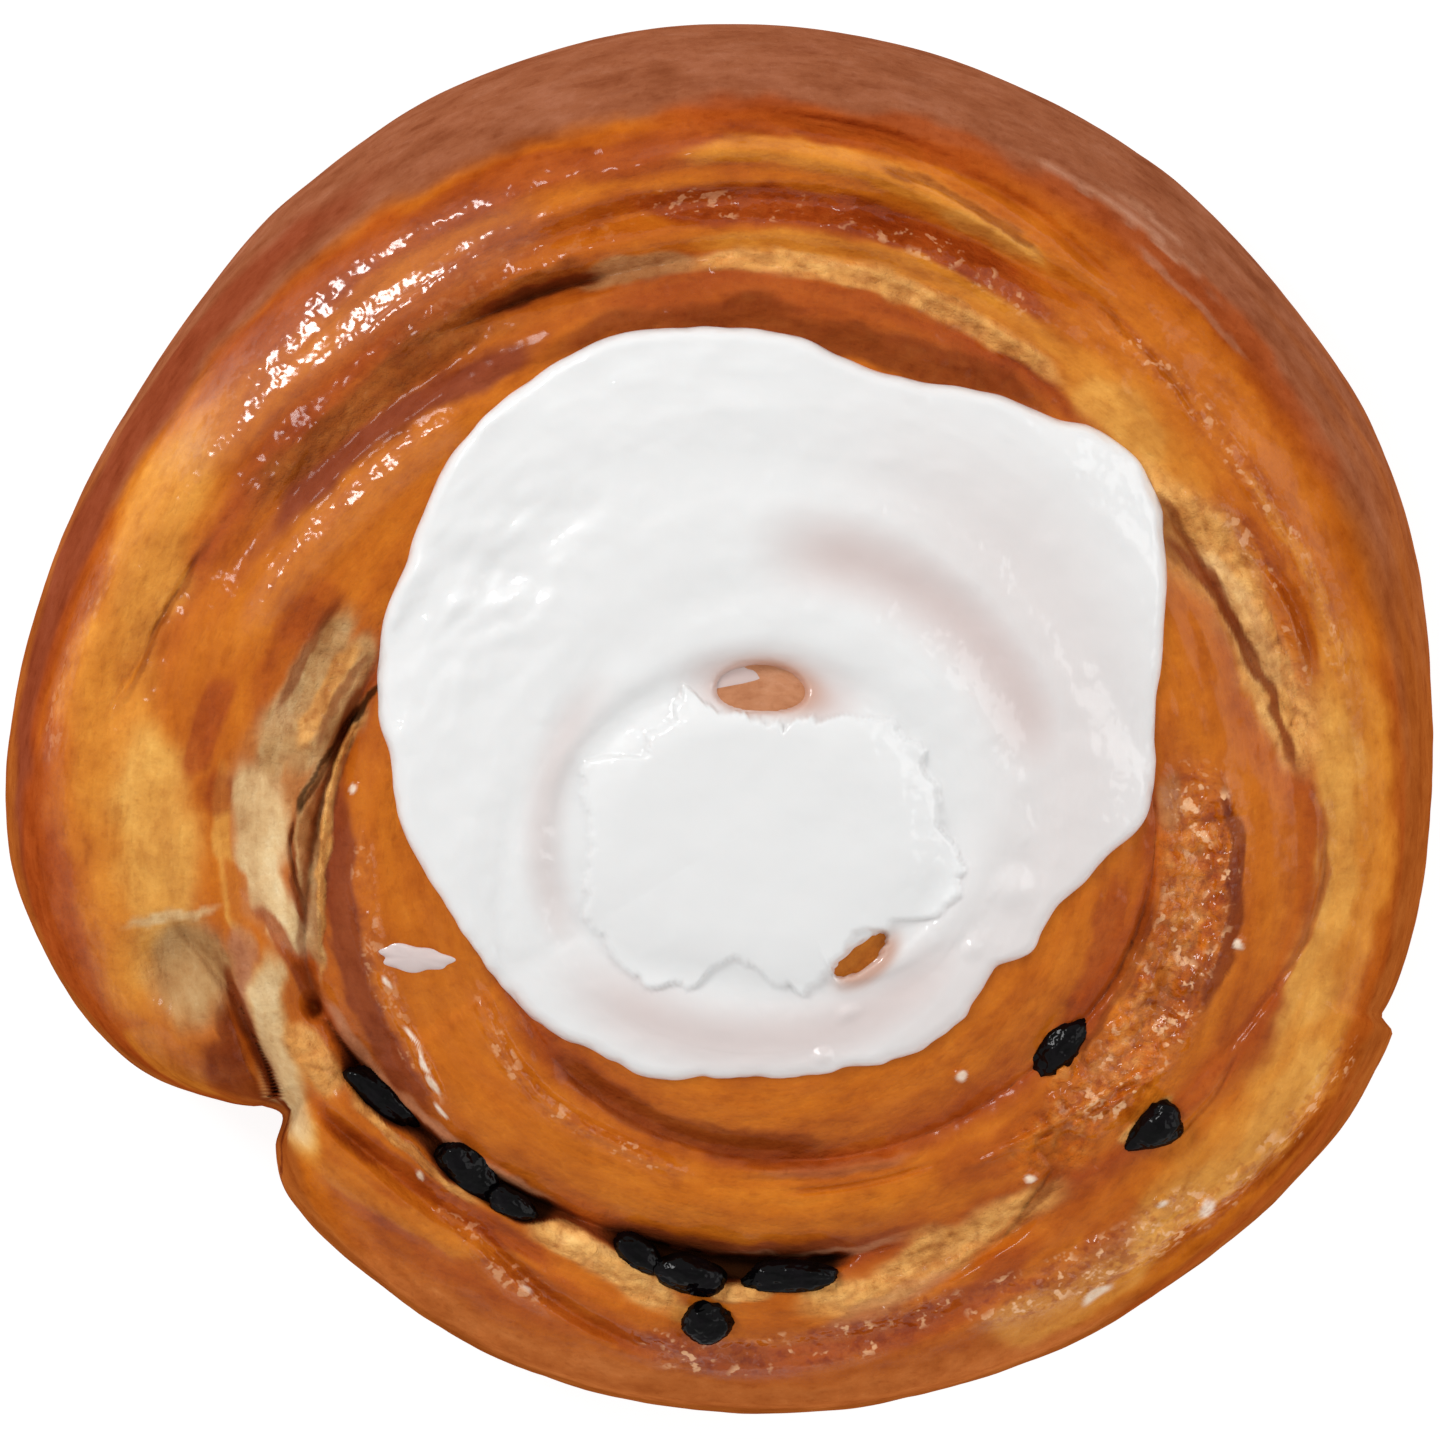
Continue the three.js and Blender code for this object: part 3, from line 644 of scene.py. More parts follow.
def seam_field(angle, radius):
    """How far the seams sink the top at each point, how much of a gap (sunk, and painted dark as shade)
    and how near they are.

    The last two go from 0 to 1.
    """
    passes = seam_passes(angle)
    shoulder = whole_shoulder(angle)
    drop = np.zeros(np.broadcast(angle, radius).shape)
    gap = np.zeros_like(drop)
    close = np.zeros_like(drop)
    for i, (seam, turn) in enumerate(passes):
        outside = passes[i - 1][0] if i else shoulder
        outside = np.where(np.isnan(outside), shoulder, outside)
        inside = passes[i + 1][0] if i + 1 < len(passes) else np.zeros_like(seam)
        inside = np.nan_to_num(inside)
        inner = np.minimum(INNER_ROUNDING, SEAM_SHARE * np.abs(seam - inside))
        outer = np.minimum(OUTER_ROUNDING, SEAM_SHARE * np.abs(outside - seam))
        away = radius - seam
        t = np.clip(np.abs(away) / np.where(away < 0, inner, outer), 0, 1)
        floor = seam_floor(turn)
        sunk = 1 - np.sqrt(1 - (1 - t) ** 2)
        sunk = seam_depth(turn) * floor * (1 - np.exp(-sunk / floor))
        drop = np.maximum(drop, np.nan_to_num(sunk))
        gape = seam_gape(turn)
        half_width = GAP_HALF_WIDTH + GAP_GROWTH * gape
        near = soft_step(GAP_REACH - np.abs(away - gape) / half_width)
        gap = np.maximum(gap, np.nan_to_num(near * gape))
        close = np.maximum(close, np.nan_to_num((1 - t) ** 2))
    return drop, gap, close


def band_place(band, angle, radius):
    """How far along a band (from, to, radii, half width) each point lies, and how far across.

    The first goes from 0 to 1, and the second is in half widths.
    """
    start, end, radii, half_width = band
    along = np.mod(angle - start, 360) / (end - start)
    middle = np.interp(along, np.linspace(0, 1, len(radii)), radii)
    return along, (radius - middle) / half_width


def band_field(band, angle, radius):
    """How strongly each point lies in a band, from 0 to 1."""
    along, across = band_place(band, angle, radius)
    fade = soft_step(along / FOLD_FADE) * soft_step((1 - along) / FOLD_FADE)
    return (along <= 1) * fade * soft_step(1 - np.abs(across))


def stroke_field(band, angle, radius):
    """The same with tapering ends."""
    along, across = band_place(band, angle, radius)
    from_ends = np.maximum(1 - np.minimum(along, 1 - along) / STROKE_TAPER, 0)
    return soft_step(1 - np.hypot(across, from_ends))


def spot_field(spot, angle, radius):
    """How strongly each point lies in a spot (angle, radius, half length, half width)."""
    middle, spot_radius, half_length, half_width = spot
    along = np.radians(swing(angle, middle)) * spot_radius / half_length
    across = (radius - spot_radius) / half_width
    return soft_step(1 - np.hypot(along, across))


def raised(shapes, shape_field, angle, radius):
    """The rise of all the shapes together at each point."""
    return sum(rise * shape_field(shape, angle, radius) for *shape, rise in shapes)


def strongest_band(bands, edge, angle, radius):
    """The strength of the strongest band at each point."""
    return np.maximum.reduce([
        strength * soft_step(edge * band_field(band, angle, radius)) for *band, strength in bands
    ])


def top_height(angle, radius):
    """The CAD model's top."""
    shoulder = shoulder_radius(angle)
    whole = whole_shoulder(angle)
    rim = np.zeros_like(whole)
    for seam, _ in reversed(seam_passes(angle)):
        rim = np.where(np.nan_to_num(seam, nan=math.inf) < whole, np.nan_to_num(seam), rim)
    rounding = SHOULDER_SHARE * (whole - rim)
    edge = np.maximum(1 - (shoulder - radius) / rounding, 0)
    height = CROWN_HEIGHT - RIM_FALL * (radius / whole) ** CROWN_POWER
    height = height - SHOULDER_DROP * edge**2 - seam_field(angle, radius)[0]
    height = height + raised(FOLDS, band_field, angle, radius)
    return height + raised(HOLLOWS, spot_field, angle, radius)


# Noise: what brings it to about -1 to 1, and how far each finer layer is shifted

NOISE_GAIN = 1.6
LAYER_SHIFT = 7.3


def gradient_noise(points, seed):
    """Smooth noise of about -1 to 1 at each (x, y, z)."""
    rng = np.random.default_rng(seed)
    table = rng.permutation(256)
    gradients = rng.normal(size=(256, 3))
    gradients /= np.linalg.norm(gradients, axis=1, keepdims=True)
    cell = np.floor(points).astype(int)
    part = points - cell
    ease = part**3 * (part * (part * 6 - 15) + 10)
    total = np.zeros(len(points))
    for corner in np.ndindex(2, 2, 2):
        at = (cell + corner) & 255
        index = table[(table[(table[at[:, 0]] + at[:, 1]) & 255] + at[:, 2]) & 255]
        weight = np.prod(np.where(np.array(corner) == 1, ease, 1 - ease), axis=1)
        total += weight * np.einsum("ij,ij->i", gradients[index], part - corner)
    return NOISE_GAIN * total


def layered_noise(points, seed, layers):
    """Noise with finer and fainter layers on top, each shifted from the one before."""
    total = np.zeros(len(points))
    for layer in range(layers):
        total += gradient_noise(points * 2**layer + LAYER_SHIFT * layer, seed + layer) / 2**layer
    return total


def noise(name, angle, radius):
    """One of the NOISES at each point of the layout, in its own strength."""
    strength, size, length, seed, layers = NOISES[name]
    angle, radius = np.broadcast_arrays(angle, radius)
    turn = np.radians(angle)
    reach = TURN_RADIUS / length if length else radius / size
    height = radius / size if length else 0 * radius
    points = np.stack([reach * np.cos(turn), reach * np.sin(turn), height], -1)
    return strength * layered_noise(points.reshape(-1, 3), seed, layers).reshape(angle.shape)


# Skin


def lump_height(angle, radius):
    """Rounded lumps with creases between them, from 0 to about 1."""
    return np.abs(noise("lumps", angle, radius))


def paint_skin(angle, radius):
    """Colour, gloss and coarseness of the top at each point."""
    at = angle, radius
    ragged_angle = angle + noise("angle_rags", *at)
    ragged_radius = radius + noise("edge_wobble", *at) + noise("edge_streaks", *at)
    ragged = ragged_angle, ragged_radius
    loose = (
        ragged_angle + noise("angle_drift", *at),
        ragged_radius + noise("edge_drift", *at),
    )
    tone = noise("tone", *at)
    speckle = noise("speckle", *at)
    drop, gap, close = seam_field(*ragged)
    skin = np.zeros((*tone.shape, COARSE + 1))

    def blend(name, amount):
        colour, gloss, coarse = SKINS[name]
        skin[...] += np.expand_dims(amount, -1) * (np.array([*colour, gloss, coarse]) - skin)

    blend("orange", 1)
    blend("amber", AMBER_SHARE * ramp(tone, *AMBER_TONES) * (1 - close))
    # Rust near the seams, partly baked colour and partly painted shade, and brown painted as shade where
    # they sink deepest
    blend("rust", soft_step(SEAM_RUST_AND_SHADE * close - RUST_TONE * tone))
    blend("brown", DEEP_SEAM_SHADE * ramp(drop, *DEEP_RANGE))
    outside = ragged_radius - side_start(ragged_angle)
    side = ramp(outside, *SIDE_RANGE)
    blend("wall", side)
    # Painted sheen of the sky on the side, stronger where it faces the back
    faces_back = np.sin(np.radians(angle)) - SHEEN_START
    blend("painted_sheen", side * soft_step(SHEEN_RISE * faces_back + SHEEN_TONE * tone))
    for name, *band, strength in STROKES:
        wide = band[-1] >= WIDE_STROKE
        field = stroke_field(band, *(loose if wide else ragged))
        blend(name, strength * soft_step((WIDE_EDGE if wide else STROKE_EDGE) * field))
    for name, *spot, strength in SPOTS:
        blend(name, strength * soft_step(SPOT_EDGE * spot_field(spot, *ragged)))
    # A painted glint on each drop of glaze
    for *bead, _ in DROPS:
        blend("painted_glint", ramp(spot_field(bead, *ragged), *PAINTED_GLINT_RANGE))
    rough = skin[..., COARSE] ** 2 * (1 - side)
    blend("crumb", CRUMB_SPECKLE * rough * ramp(speckle, *SPECKLE_RANGE))
    blend("rust", RUST_SPECKLE * rough * ramp(-speckle, *SPECKLE_RANGE))
    # Painted shade in the creases between the crumb's lumps
    crease_shade = 1 - ramp(lump_height(*at), 0, LUMP_CREASE)
    blend("umber", LUMP_CREASE_SHADE * skin[..., COARSE] * (1 - side) * crease_shade)
    # Painted shade where the seams gape: brown, then black
    blend("brown", ramp(gap, *GAP_SHADE_BROWN))
    blend("shadow", ramp(gap, *GAP_SHADOW))
    skin[..., GLOSS] *= 1 - ramp(outside, *GLOSS_END)
    return skin


def wetness(angle, radius):
    """How beaded the glaze is at each point, from 0 to 1."""
    crinkle = CRINKLE * ramp(radius, *CRINKLE_RANGE)
    return np.maximum(crinkle, strongest_band(WET, WET_EDGE, angle, radius))


def shine(angle, radius, gloss, wet):
    """How strong the glaze's film is at each point, from 0 to 1."""
    film = DRY_FILM * soft_step(gloss) + WET_FILM * wet * soft_step(gloss / WET_GLOSS)
    return np.maximum(film, strongest_band(GLARE, GLARE_EDGE, angle, radius))


def fine_relief(angle, radius, coarse):
    """The unevenness of the baked skin, in millimetres."""
    at = angle, radius
    folds = sum(noise(name, *at) for name in ("streaks", "long_folds", "short_folds"))
    relief = noise("dents", *at) + folds * ramp(radius, *MIDDLE_FADE)
    relief = relief + wetness(*at) * noise("beads", *at) + coarse * noise("grains", *at)
    relief = relief + coarse * LUMP_RISE * (lump_height(*at) - LUMP_LEVEL)
    relief = relief + raised(CREASES, band_field, *at) + raised(DROPS, spot_field, *at)
    return relief - GAP_DEPTH * seam_field(*at)[1]


def surface_height(angle, radius):
    """The finished top of the dough."""
    coarse = paint_skin(angle, radius)[..., COARSE]
    return top_height(angle, radius) + fine_relief(angle, radius, coarse)


# Meshes

ATTRIBUTE_KINDS = {"skin": ("FLOAT_COLOR", "color"), "grain": ("FLOAT_VECTOR", "vector")}


def to_frame(angle, radius, z, offset):
    """Layout millimetres to frame metres."""
    turn = np.radians(angle)
    x = radius * np.cos(turn)
    y = radius * np.sin(turn) / math.cos(VIEW_TILT) + z * math.tan(VIEW_TILT)
    x, y, z = np.broadcast_arrays(x, y, z)
    return np.stack([x, y, z], -1) * MM + offset


def placed(along, across, heading, angle, radius):
    """Angles and radii of points given along and across a heading at a place in the layout."""
    turn = math.radians(heading)
    middle = math.radians(angle)
    x = radius * math.cos(middle) + along * math.cos(turn) - across * math.sin(turn)
    y = radius * math.sin(middle) + along * math.sin(turn) + across * math.cos(turn)
    return np.degrees(np.arctan2(y, x)), np.hypot(x, y)


def spoke_angles(count):
    return np.linspace(0, 360, count, endpoint=False)[:, None]


def ring_shares(count):
    """Even steps from the first ring's share of the way to 1."""
    return np.linspace(0, 1, count + 1)[None, 1:]


def ring_radii(reach, rings, edge, shares):
    """Radii on each spoke: even rings out to reach, then shares of the way on to the edge."""
    inner = np.broadcast_to(reach * ring_shares(rings), (len(edge), rings))
    return np.hstack([inner, reach + shares * (edge - reach)])


def round_faces(spokes, rings):
    """Quads between the spokes' columns of rings points, and fans to two points after them."""
    column = np.arange(spokes)[:, None] * rings
    after = np.roll(column, -1, 0)
    step = np.arange(rings - 1)
    quads = np.stack([column + step, column + step + 1, after + step + 1, after + step], -1)
    faces = quads.reshape(-1, 4).tolist()
    first = spokes * rings
    for here, following in zip(column[:, 0].tolist(), after[:, 0].tolist()):
        faces.append([first, here, following])
        faces.append([first + 1, following + rings - 1, here + rings - 1])
    return faces


def make_piece(name, points, faces, attributes, material, nodes):
    """A smooth mesh piece in the frame that rides with the bun and stands for CAD nodes."""
    mesh = bpy.data.meshes.new(name)
    mesh.from_pydata(points.reshape(-1, 3).tolist(), [], faces)
    mesh.polygons.foreach_set("use_smooth", np.ones(len(mesh.polygons), bool))
    for key, values in attributes.items():
        kind, part = ATTRIBUTE_KINDS.get(key, ("FLOAT", "value"))
        attribute = mesh.attributes.new(key, kind, "POINT")
        attribute.data.foreach_set(part, np.asarray(values, np.float32).ravel())
    mesh.materials.append(material)
    mesh.update()
    piece = bpy.data.objects.new(name, mesh)
    bpy.context.scene.collection.objects.link(piece)
    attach(piece, "root")
    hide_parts(*nodes)


# Materials

# Noise in the dough's skin: size in millimetres, detail, roughness, and whether it runs
# along the turns

SKIN_NOISES = {
    "streaks": (2.4, 4, 0.6, True),
    "blotches": (0.9, 3, 0.65, False),
    "patches": (6, 3, 0.6, False),
    "wrinkles": (1.3, 3, 0.6, True),
    "crystals": (1.25, 2, 0.6, False),
    "clusters": (3, 1, 0.5, False),
    "beads": (2, 2, 0.5, False),
    "ripples": (3, 1, 0.5, True),
}

# Darker and lighter tints: noise, where in it the tint starts and is full, zone, two
# values of the zone and the tint's share at each, and the tint

TINTS = [
    ("patches", 0.5, 0.68, "coarse", 0, 0.5, 0.35, 0.8, (0.72, 0.6, 0.5)),
    ("patches", 0.48, 0.3, "coarse", 0, 0.5, 0.3, 0.9, (1.18, 1.28, 1.45)),
    ("streaks", 0.5, 0.72, "coarse", 0, 0.5, 0.5, 0.8, (0.66, 0.5, 0.4)),
    ("streaks", 0.48, 0.3, "coarse", 0, 0.5, 0.6, 1, (1.15, 1.3, 1.5)),
    ("blotches", 0.55, 0.7, "coarse", 0, 1, 0.22, 0.6, (0.62, 0.42, 0.3)),
    ("blotches", 0.45, 0.3, "coarse", 0, 1, 0.4, 0.4, (1.15, 1.28, 1.45)),
    ("wrinkles", 0.54, 0.7, "coarse", 0, 1, 0.4, 0.4, (0.66, 0.5, 0.4)),
    ("wrinkles", 0.46, 0.32, "coarse", 0, 1, 0.4, 0.4, (1.15, 1.26, 1.4)),
    ("crystals", 0.48, 0.38, "wet", 0.25, 0.8, 0, 0.6, (0.62, 0.38, 0.3)),
]

# Painted sparkles: peach glints painted into the colour of wet glaze; the crystals and clusters of noise
# that make them, and their share by wetness

SPARK_CRYSTALS = (0.56, 0.62)
SPARK_CLUSTERS = (0.44, 0.54)
SPARK_WETNESS = (0.3, 0.9, 0, 0.95)
PAINTED_SPARK_COLOUR = (0.92, 0.5, 0.25)

# Heights of the bumps, in millimetres, how coarse skin deepens its pits and how wet skin
# raises its beads

BUMPS = {
    "streaks": 0.3, "pits": 0.35, "wrinkles": 0.25, "beads": 1.5, "ripples": 0.4,
    "icing": 0.12, "fruit and icing film": 0.5,
}
PITS_BY_COARSENESS = (0, 1, 0.35, 1.5)
BEADS_BY_WETNESS = (0, 1, 0.05, 1)

# Colours of the icing, thick, thin (also used for painted shade) and where it is a clear film
# over the dough, how clear that film is, and the two colours of the currants

ICING_WHITE = (0.875, 0.875, 0.87)
ICING_THIN_AND_SHADE = (0.70, 0.56, 0.53)
ICING_OVER_DOUGH = (0.58, 0.26, 0.145)
ICING_CLEARNESS = 0.75
CURRANT_COLOURS = ((0.001, 0.001, 0.001), (0.003, 0.002, 0.003))


def fill(tree, node, inputs):
    """Gives each of a node's inputs a value or the output of another node."""
    for key, value in inputs.items():
        socket = node.inputs[key.replace("_", " ")]
        if isinstance(value, bpy.types.NodeSocket):
            tree.links.new(value, socket)
        else:
            socket.default_value = value


def range_ends(low, high, to_low, to_high):
    return {"From Min": low, "From Max": high, "To Min": to_low, "To Max": to_high}


class Nodes:
    """A material's node tree, with short calls for what the materials share."""

    def __init__(self, name):
        self.material = bpy.data.materials.new(name)
        self.material.use_nodes = True
        self.tree = self.material.node_tree
        self.place = self.add("TexCoord", "Object")

    def add(self, kind, output, **inputs):
        node = self.tree.nodes.new("ShaderNode" + kind)
        fill(self.tree, node, inputs)
        return node.outputs[output]

    def set(self, **inputs):
        fill(self.tree, self.tree.nodes["Principled BSDF"], inputs)

    def attribute(self, name, output="Fac"):
        node = self.tree.nodes.new("ShaderNodeAttribute")
        node.attribute_name = name
        return node.outputs[output]

    def noise(self, size, detail=3, roughness=0.55, place=None):
        """Noise with features of about size millimetres."""
        place = self.place if place is None else place
        scale = 1 / (size * MM)
        return self.add("TexNoise", "Fac", Scale=scale, Detail=detail, Roughness=roughness, Vector=place)

    def span(self, value, low, high, to_low=0, to_high=1):
        """value's range from low to high, stretched to another, and cut off there."""
        return self.add("MapRange", "Result", Value=value, **range_ends(low, high, to_low, to_high))

    def times(self, first, second):
        node = self.tree.nodes.new("ShaderNodeMath")
        node.operation = "MULTIPLY"
        self.tree.links.new(first, node.inputs[0])
        self.tree.links.new(second, node.inputs[1])
        return node.outputs["Value"]

    def mix(self, factor, first, second, blend="MIX"):
        """A blend of two colours, each a socket or an RGB triple."""
        node = self.tree.nodes.new("ShaderNodeMix")
        node.data_type = "RGBA"
        node.blend_type = blend
        self.tree.links.new(factor, node.inputs["Factor"])
        for key, value in (("A", first), ("B", second)):
            socket = next(s for s in node.inputs if s.name == key and s.type == "RGBA")
            if isinstance(value, tuple):
                socket.default_value = (*value, 1)
            else:
                self.tree.links.new(value, socket)
        return next(s for s in node.outputs if s.type == "RGBA")

    def bump(self, height, distance, normal=None):
        below = {} if normal is None else {"Normal": normal}
        return self.add("Bump", "Normal", Distance=distance * MM, Height=height, **below)


def dough_material():
    n = Nodes("glazed_dough")
    zones = {name: n.attribute(name) for name in ("coarse", "wet")}
    grain = n.attribute("grain", "Vector")
    noises = {
        name: n.noise(size, detail, roughness, grain if runs else None)
        for name, (size, detail, roughness, runs) in SKIN_NOISES.items()
    }
    colour = n.attribute("skin", "Color")
    for name, start, full, zone, *shares, tint in TINTS:
        share = n.times(n.span(noises[name], start, full), n.span(zones[zone], *shares))
        colour = n.mix(share, colour, tint, "MULTIPLY")
    # Painted sparkles in the colour of wet glaze, besides the coat's own glints
    clusters = n.span(noises["clusters"], *SPARK_CLUSTERS)
    painted_sparks = n.times(n.span(noises["crystals"], *SPARK_CRYSTALS), clusters)
    painted_sparks = n.times(painted_sparks, n.span(zones["wet"], *SPARK_WETNESS))
    n.set(Base_Color=n.mix(painted_sparks, colour, PAINTED_SPARK_COLOUR), Roughness=0.8, Specular_IOR_Level=0)
    pits = n.times(noises["blotches"], n.span(zones["coarse"], *PITS_BY_COARSENESS))
    pitted = n.bump(pits, BUMPS["pits"], n.bump(noises["streaks"], BUMPS["streaks"]))
    n.set(Normal=n.bump(noises["wrinkles"], BUMPS["wrinkles"], pitted))
    beads = n.bump(n.times(noises["beads"], n.span(zones["wet"], *BEADS_BY_WETNESS)), BUMPS["beads"])
    n.set(Coat_Weight=n.attribute("film"), Coat_Roughness=0.15, Coat_IOR=1.8)
    n.set(Coat_Normal=n.bump(noises["ripples"], BUMPS["ripples"], beads))
    return n.material


def icing_material():
    n = Nodes("icing")
    colour = n.mix(n.attribute("thin_and_shade"), ICING_WHITE, ICING_THIN_AND_SHADE)
    bare = n.span(n.attribute("film"), 0, 1, 0, ICING_CLEARNESS)
    n.set(Base_Color=n.mix(bare, colour, ICING_OVER_DOUGH), Roughness=0.4, IOR=1.45)
    n.set(Subsurface_Weight=0.2, Subsurface_Scale=MM, Subsurface_Radius=(1, 0.9, 0.85))
    n.set(Normal=n.bump(n.noise(size=3, detail=2), BUMPS["icing"]))
    n.set(Coat_Weight=0.9, Coat_Roughness=0.08)
    n.set(Coat_Normal=n.bump(n.noise(size=2.6, detail=2), BUMPS["fruit and icing film"]))
    return n.material


def currant_material():
    n = Nodes("currant")
    lighter = n.span(n.noise(size=1.5), low=0.4, high=0.65)
    n.set(Base_Color=n.mix(lighter, *CURRANT_COLOURS))
    n.set(Roughness=0.6, Specular_IOR_Level=0, Coat_Weight=0.3, Coat_IOR=1.45, Coat_Roughness=0.1)
    n.set(Coat_Normal=n.bump(n.noise(size=1.6, detail=2), BUMPS["fruit and icing film"]))
    return n.material


def floor_material():
    n = Nodes("floor")
    n.set(Base_Color=(0.3, 0.3, 0.3, 1), Roughness=0.9, Specular_IOR_Level=0)
    n.set(Emission_Color=(1, 1, 1, 1), Emission_Strength=0.85)
    return n.material


# Dough


def dough_side(angle, edge_radius, edge_z):
    """Radii and heights of the side's rings, down from the top's edge."""
    down = 1 - ring_shares(WALL_RINGS) ** WALL_CROWDING
    z = edge_z * down
    dents = noise("wall_wrinkles", angle, z) + noise("wall_dents", angle, z) - WALL_SINK
    miss = edge_radius - wall_radius(angle, edge_z)
    return wall_radius(angle, z) + miss * down**WALL_BLEND + dents * np.sin(np.pi * down), z


def with_ends(values, first, last):
    """Values of all the rings' points, with those of the two middle points after them."""
    return np.concatenate([values, [first], [last]])


def build_dough(material):
    """The dough. It returns the offset that brings the layout to the CAD model's place."""
    angle = spoke_angles(DOUGH_SPOKES)
    shoulder = shoulder_radius(angle)
    radius = ring_radii(COVERED_REACH, COVERED_RINGS, shoulder, ring_shares(TOP_RINGS))
    skin = paint_skin(angle, radius)
    top = top_height(angle, radius) + fine_relief(angle, radius, skin[..., COARSE])
    wet = wetness(angle, radius)
    film = shine(angle, radius, skin[..., GLOSS], wet)

    side_radius, side_z = dough_side(angle, radius[:, -1:], top[:, -1:])
    base_radius = side_radius[:, -1:] * (1 - np.arange(1, BASE_RINGS + 1) / (BASE_RINGS + 1))
    all_radii = np.hstack([radius, side_radius, base_radius])
    all_z = np.hstack([top, side_z, np.zeros_like(base_radius)])
    columns = to_frame(angle, all_radii, all_z, np.zeros(3)).reshape(-1, 3)
    cad_low, cad_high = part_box("dough")
    offset = np.array((cad_low + cad_high) / 2) - (columns.min(0) + columns.max(0)) / 2
    offset[2] = 0
    ends = to_frame(np.zeros(2), np.zeros(2), np.array([CROWN_HEIGHT, 0]), offset)

    laid_flat = shoulder + top[:, -1:] - side_z
    side = paint_skin(angle, laid_flat)
    side = np.hstack([side, np.repeat(side[:, -1:], BASE_RINGS, 1)])
    skins = np.hstack([skin, side]).reshape(-1, COARSE + 1)
    skins = with_ends(skins, skins[0], skins[-1])
    unseen = np.zeros((DOUGH_SPOKES, WALL_RINGS + BASE_RINGS))
    run = np.hstack([radius, laid_flat, base_radius - BASE_GRAIN])
    turn = np.radians(np.broadcast_to(angle, all_radii.shape))
    round_coil = GRAIN_SHARE * all_radii * np.stack([np.cos(turn), np.sin(turn)])
    grain = np.stack([*round_coil, run], -1).reshape(-1, 3)
    attributes = {
        "skin": np.hstack([skins[:, :GLOSS], np.ones((len(skins), 1))]),
        "coarse": skins[:, COARSE],
        "grain": with_ends(grain, grain[0], grain[-1]) * MM,
        "wet": with_ends(np.hstack([wet, unseen]).ravel(), 0, 0),
        "film": with_ends(np.hstack([film, unseen]).ravel(), 0, 0),
    }
    points = np.concatenate([columns + offset, ends])
    faces = round_faces(DOUGH_SPOKES, all_radii.shape[1])
    make_piece("bun_dough", points, faces, attributes, material, ["dough"])
    return offset


# Icing: thickness of its film, its body and the knob's crust, the body's share under the
# crust, width of the rounded edge, depth of what lies in the dough, and spread of the edge

FILM = 0.4
BODY = 0.7
CRUST = 0.9
UNDER_CRUST = 0.5
BEAD = 1.2
BURIED = 0.3
ICING_SPREAD = 0.25

# Passes that level the dough under the icing, and the ranges over which the crust's edge
# and the edges of the holes rise

LEVELLING = 14
CRUST_EDGE = (0.3, 0.7)
HOLE_EDGE = (0.12, 0.32)
FILM_EDGE = 1.6

icing_edge = curve_through([
    (0, 31.5), (5, 32.8), (15, 33.8), (25, 36.9), (30, 38.9), (35, 40.8), (38, 42.2),
    (45, 43.1), (50, 42.5), (53, 41.5), (60, 40.3), (65, 39.5), (72, 38.5), (80, 39),
    (85, 40), (97, 41.1), (105, 41.8), (112, 41.3), (120, 40.5), (127, 39.7),
    (135, 37.8), (145, 35.7), (155, 34.2), (165, 31.9), (170, 30.3), (180, 29.3),
    (190, 27.1), (205, 25.2), (220, 24.4), (235, 23), (250, 22.4), (258, 21.4),
    (268, 20.9), (280, 21), (290, 21.4), (305, 22.9), (315, 23.4), (328, 22.9),
    (335, 24.8), (345, 25.7), (350, 27.2), (355, 28.9),
], 360)

knob_edge = curve_through([
    (7, 15.1), (23, 15), (36, 14.2), (48, 12.7), (60, 10.2), (78, 9.1), (93, 9),
    (97, 10), (113, 11.2), (118, 13), (128, 12), (143, 11.1), (150, 11.8), (155, 14.2),
    (160, 15.2), (175, 14.9), (187, 14.6), (196, 15.4), (207, 15.9), (216, 16.6),
    (231, 16.3), (243, 15.8), (249, 14.7), (252, 13), (256, 12.1), (265, 11.8),
    (272, 12.5), (277, 13.7), (281, 14), (285, 15.3), (290, 14.3), (298, 13.2),
    (308, 12.9), (318, 13.5), (326, 15.1), (334, 17), (342, 17.8), (354, 16.8),
], 360)

# Bare patches and thin places in the icing, as spots and bands. The band round the left of the knob
# and the broad one over the right half are mostly painted shade: they grey the icing and thin it too.

HOLES = [(88, 11.2, 5.4, 2.9), (308.4, 14, 4, 1.4)]
FILMS = [(84, 11.4, 7, 3.6), (309, 14.8, 5, 2.2)]
ICING_LUMPS = [
    (345.6, 22, 2.6, 2.4, 0.8),
    (286, 20, 1.2, 1, 0.4),
    (296, 17.4, 1.6, 1, 0.4),
    (330, 20.6, 1.4, 1.2, 0.4),
]
ICING_RIPPLES = (138, 30, 18, 10, 0.65)
THIN_AND_SHADE_BANDS = [
    (205, 345, (19.5, 18.4, 18, 18.6, 20), 4.8, 0.68),
    (0, 95, (24, 24, 23.5, 22.5), 5.2, 0.78),
    (130, 222, (17, 17.5, 18.5), 2.6, 0.45),
    (40, 125, (11.5, 11.8, 12.2), 4, 0.7),
    (-90, 90, (16, 22, 26, 30, 32), 12, 0.35),
]

def smoothed(height, passes):
    """height averaged with its neighbours along and round the rings."""
    for _ in range(passes):
        inner = np.hstack([height[:, :1], height[:, :-1]])
        outer = np.hstack([height[:, 1:], height[:, -1:]])
        height = (2 * height + inner + outer) / 4
        height = (2 * height + np.roll(height, 1, 0) + np.roll(height, -1, 0)) / 4
    return height


def most(spots, angle, radius):
    """How strongly each point lies in any of the spots, from 0 to 1."""
    return np.maximum.reduce([spot_field(spot, angle, radius) for spot in spots])


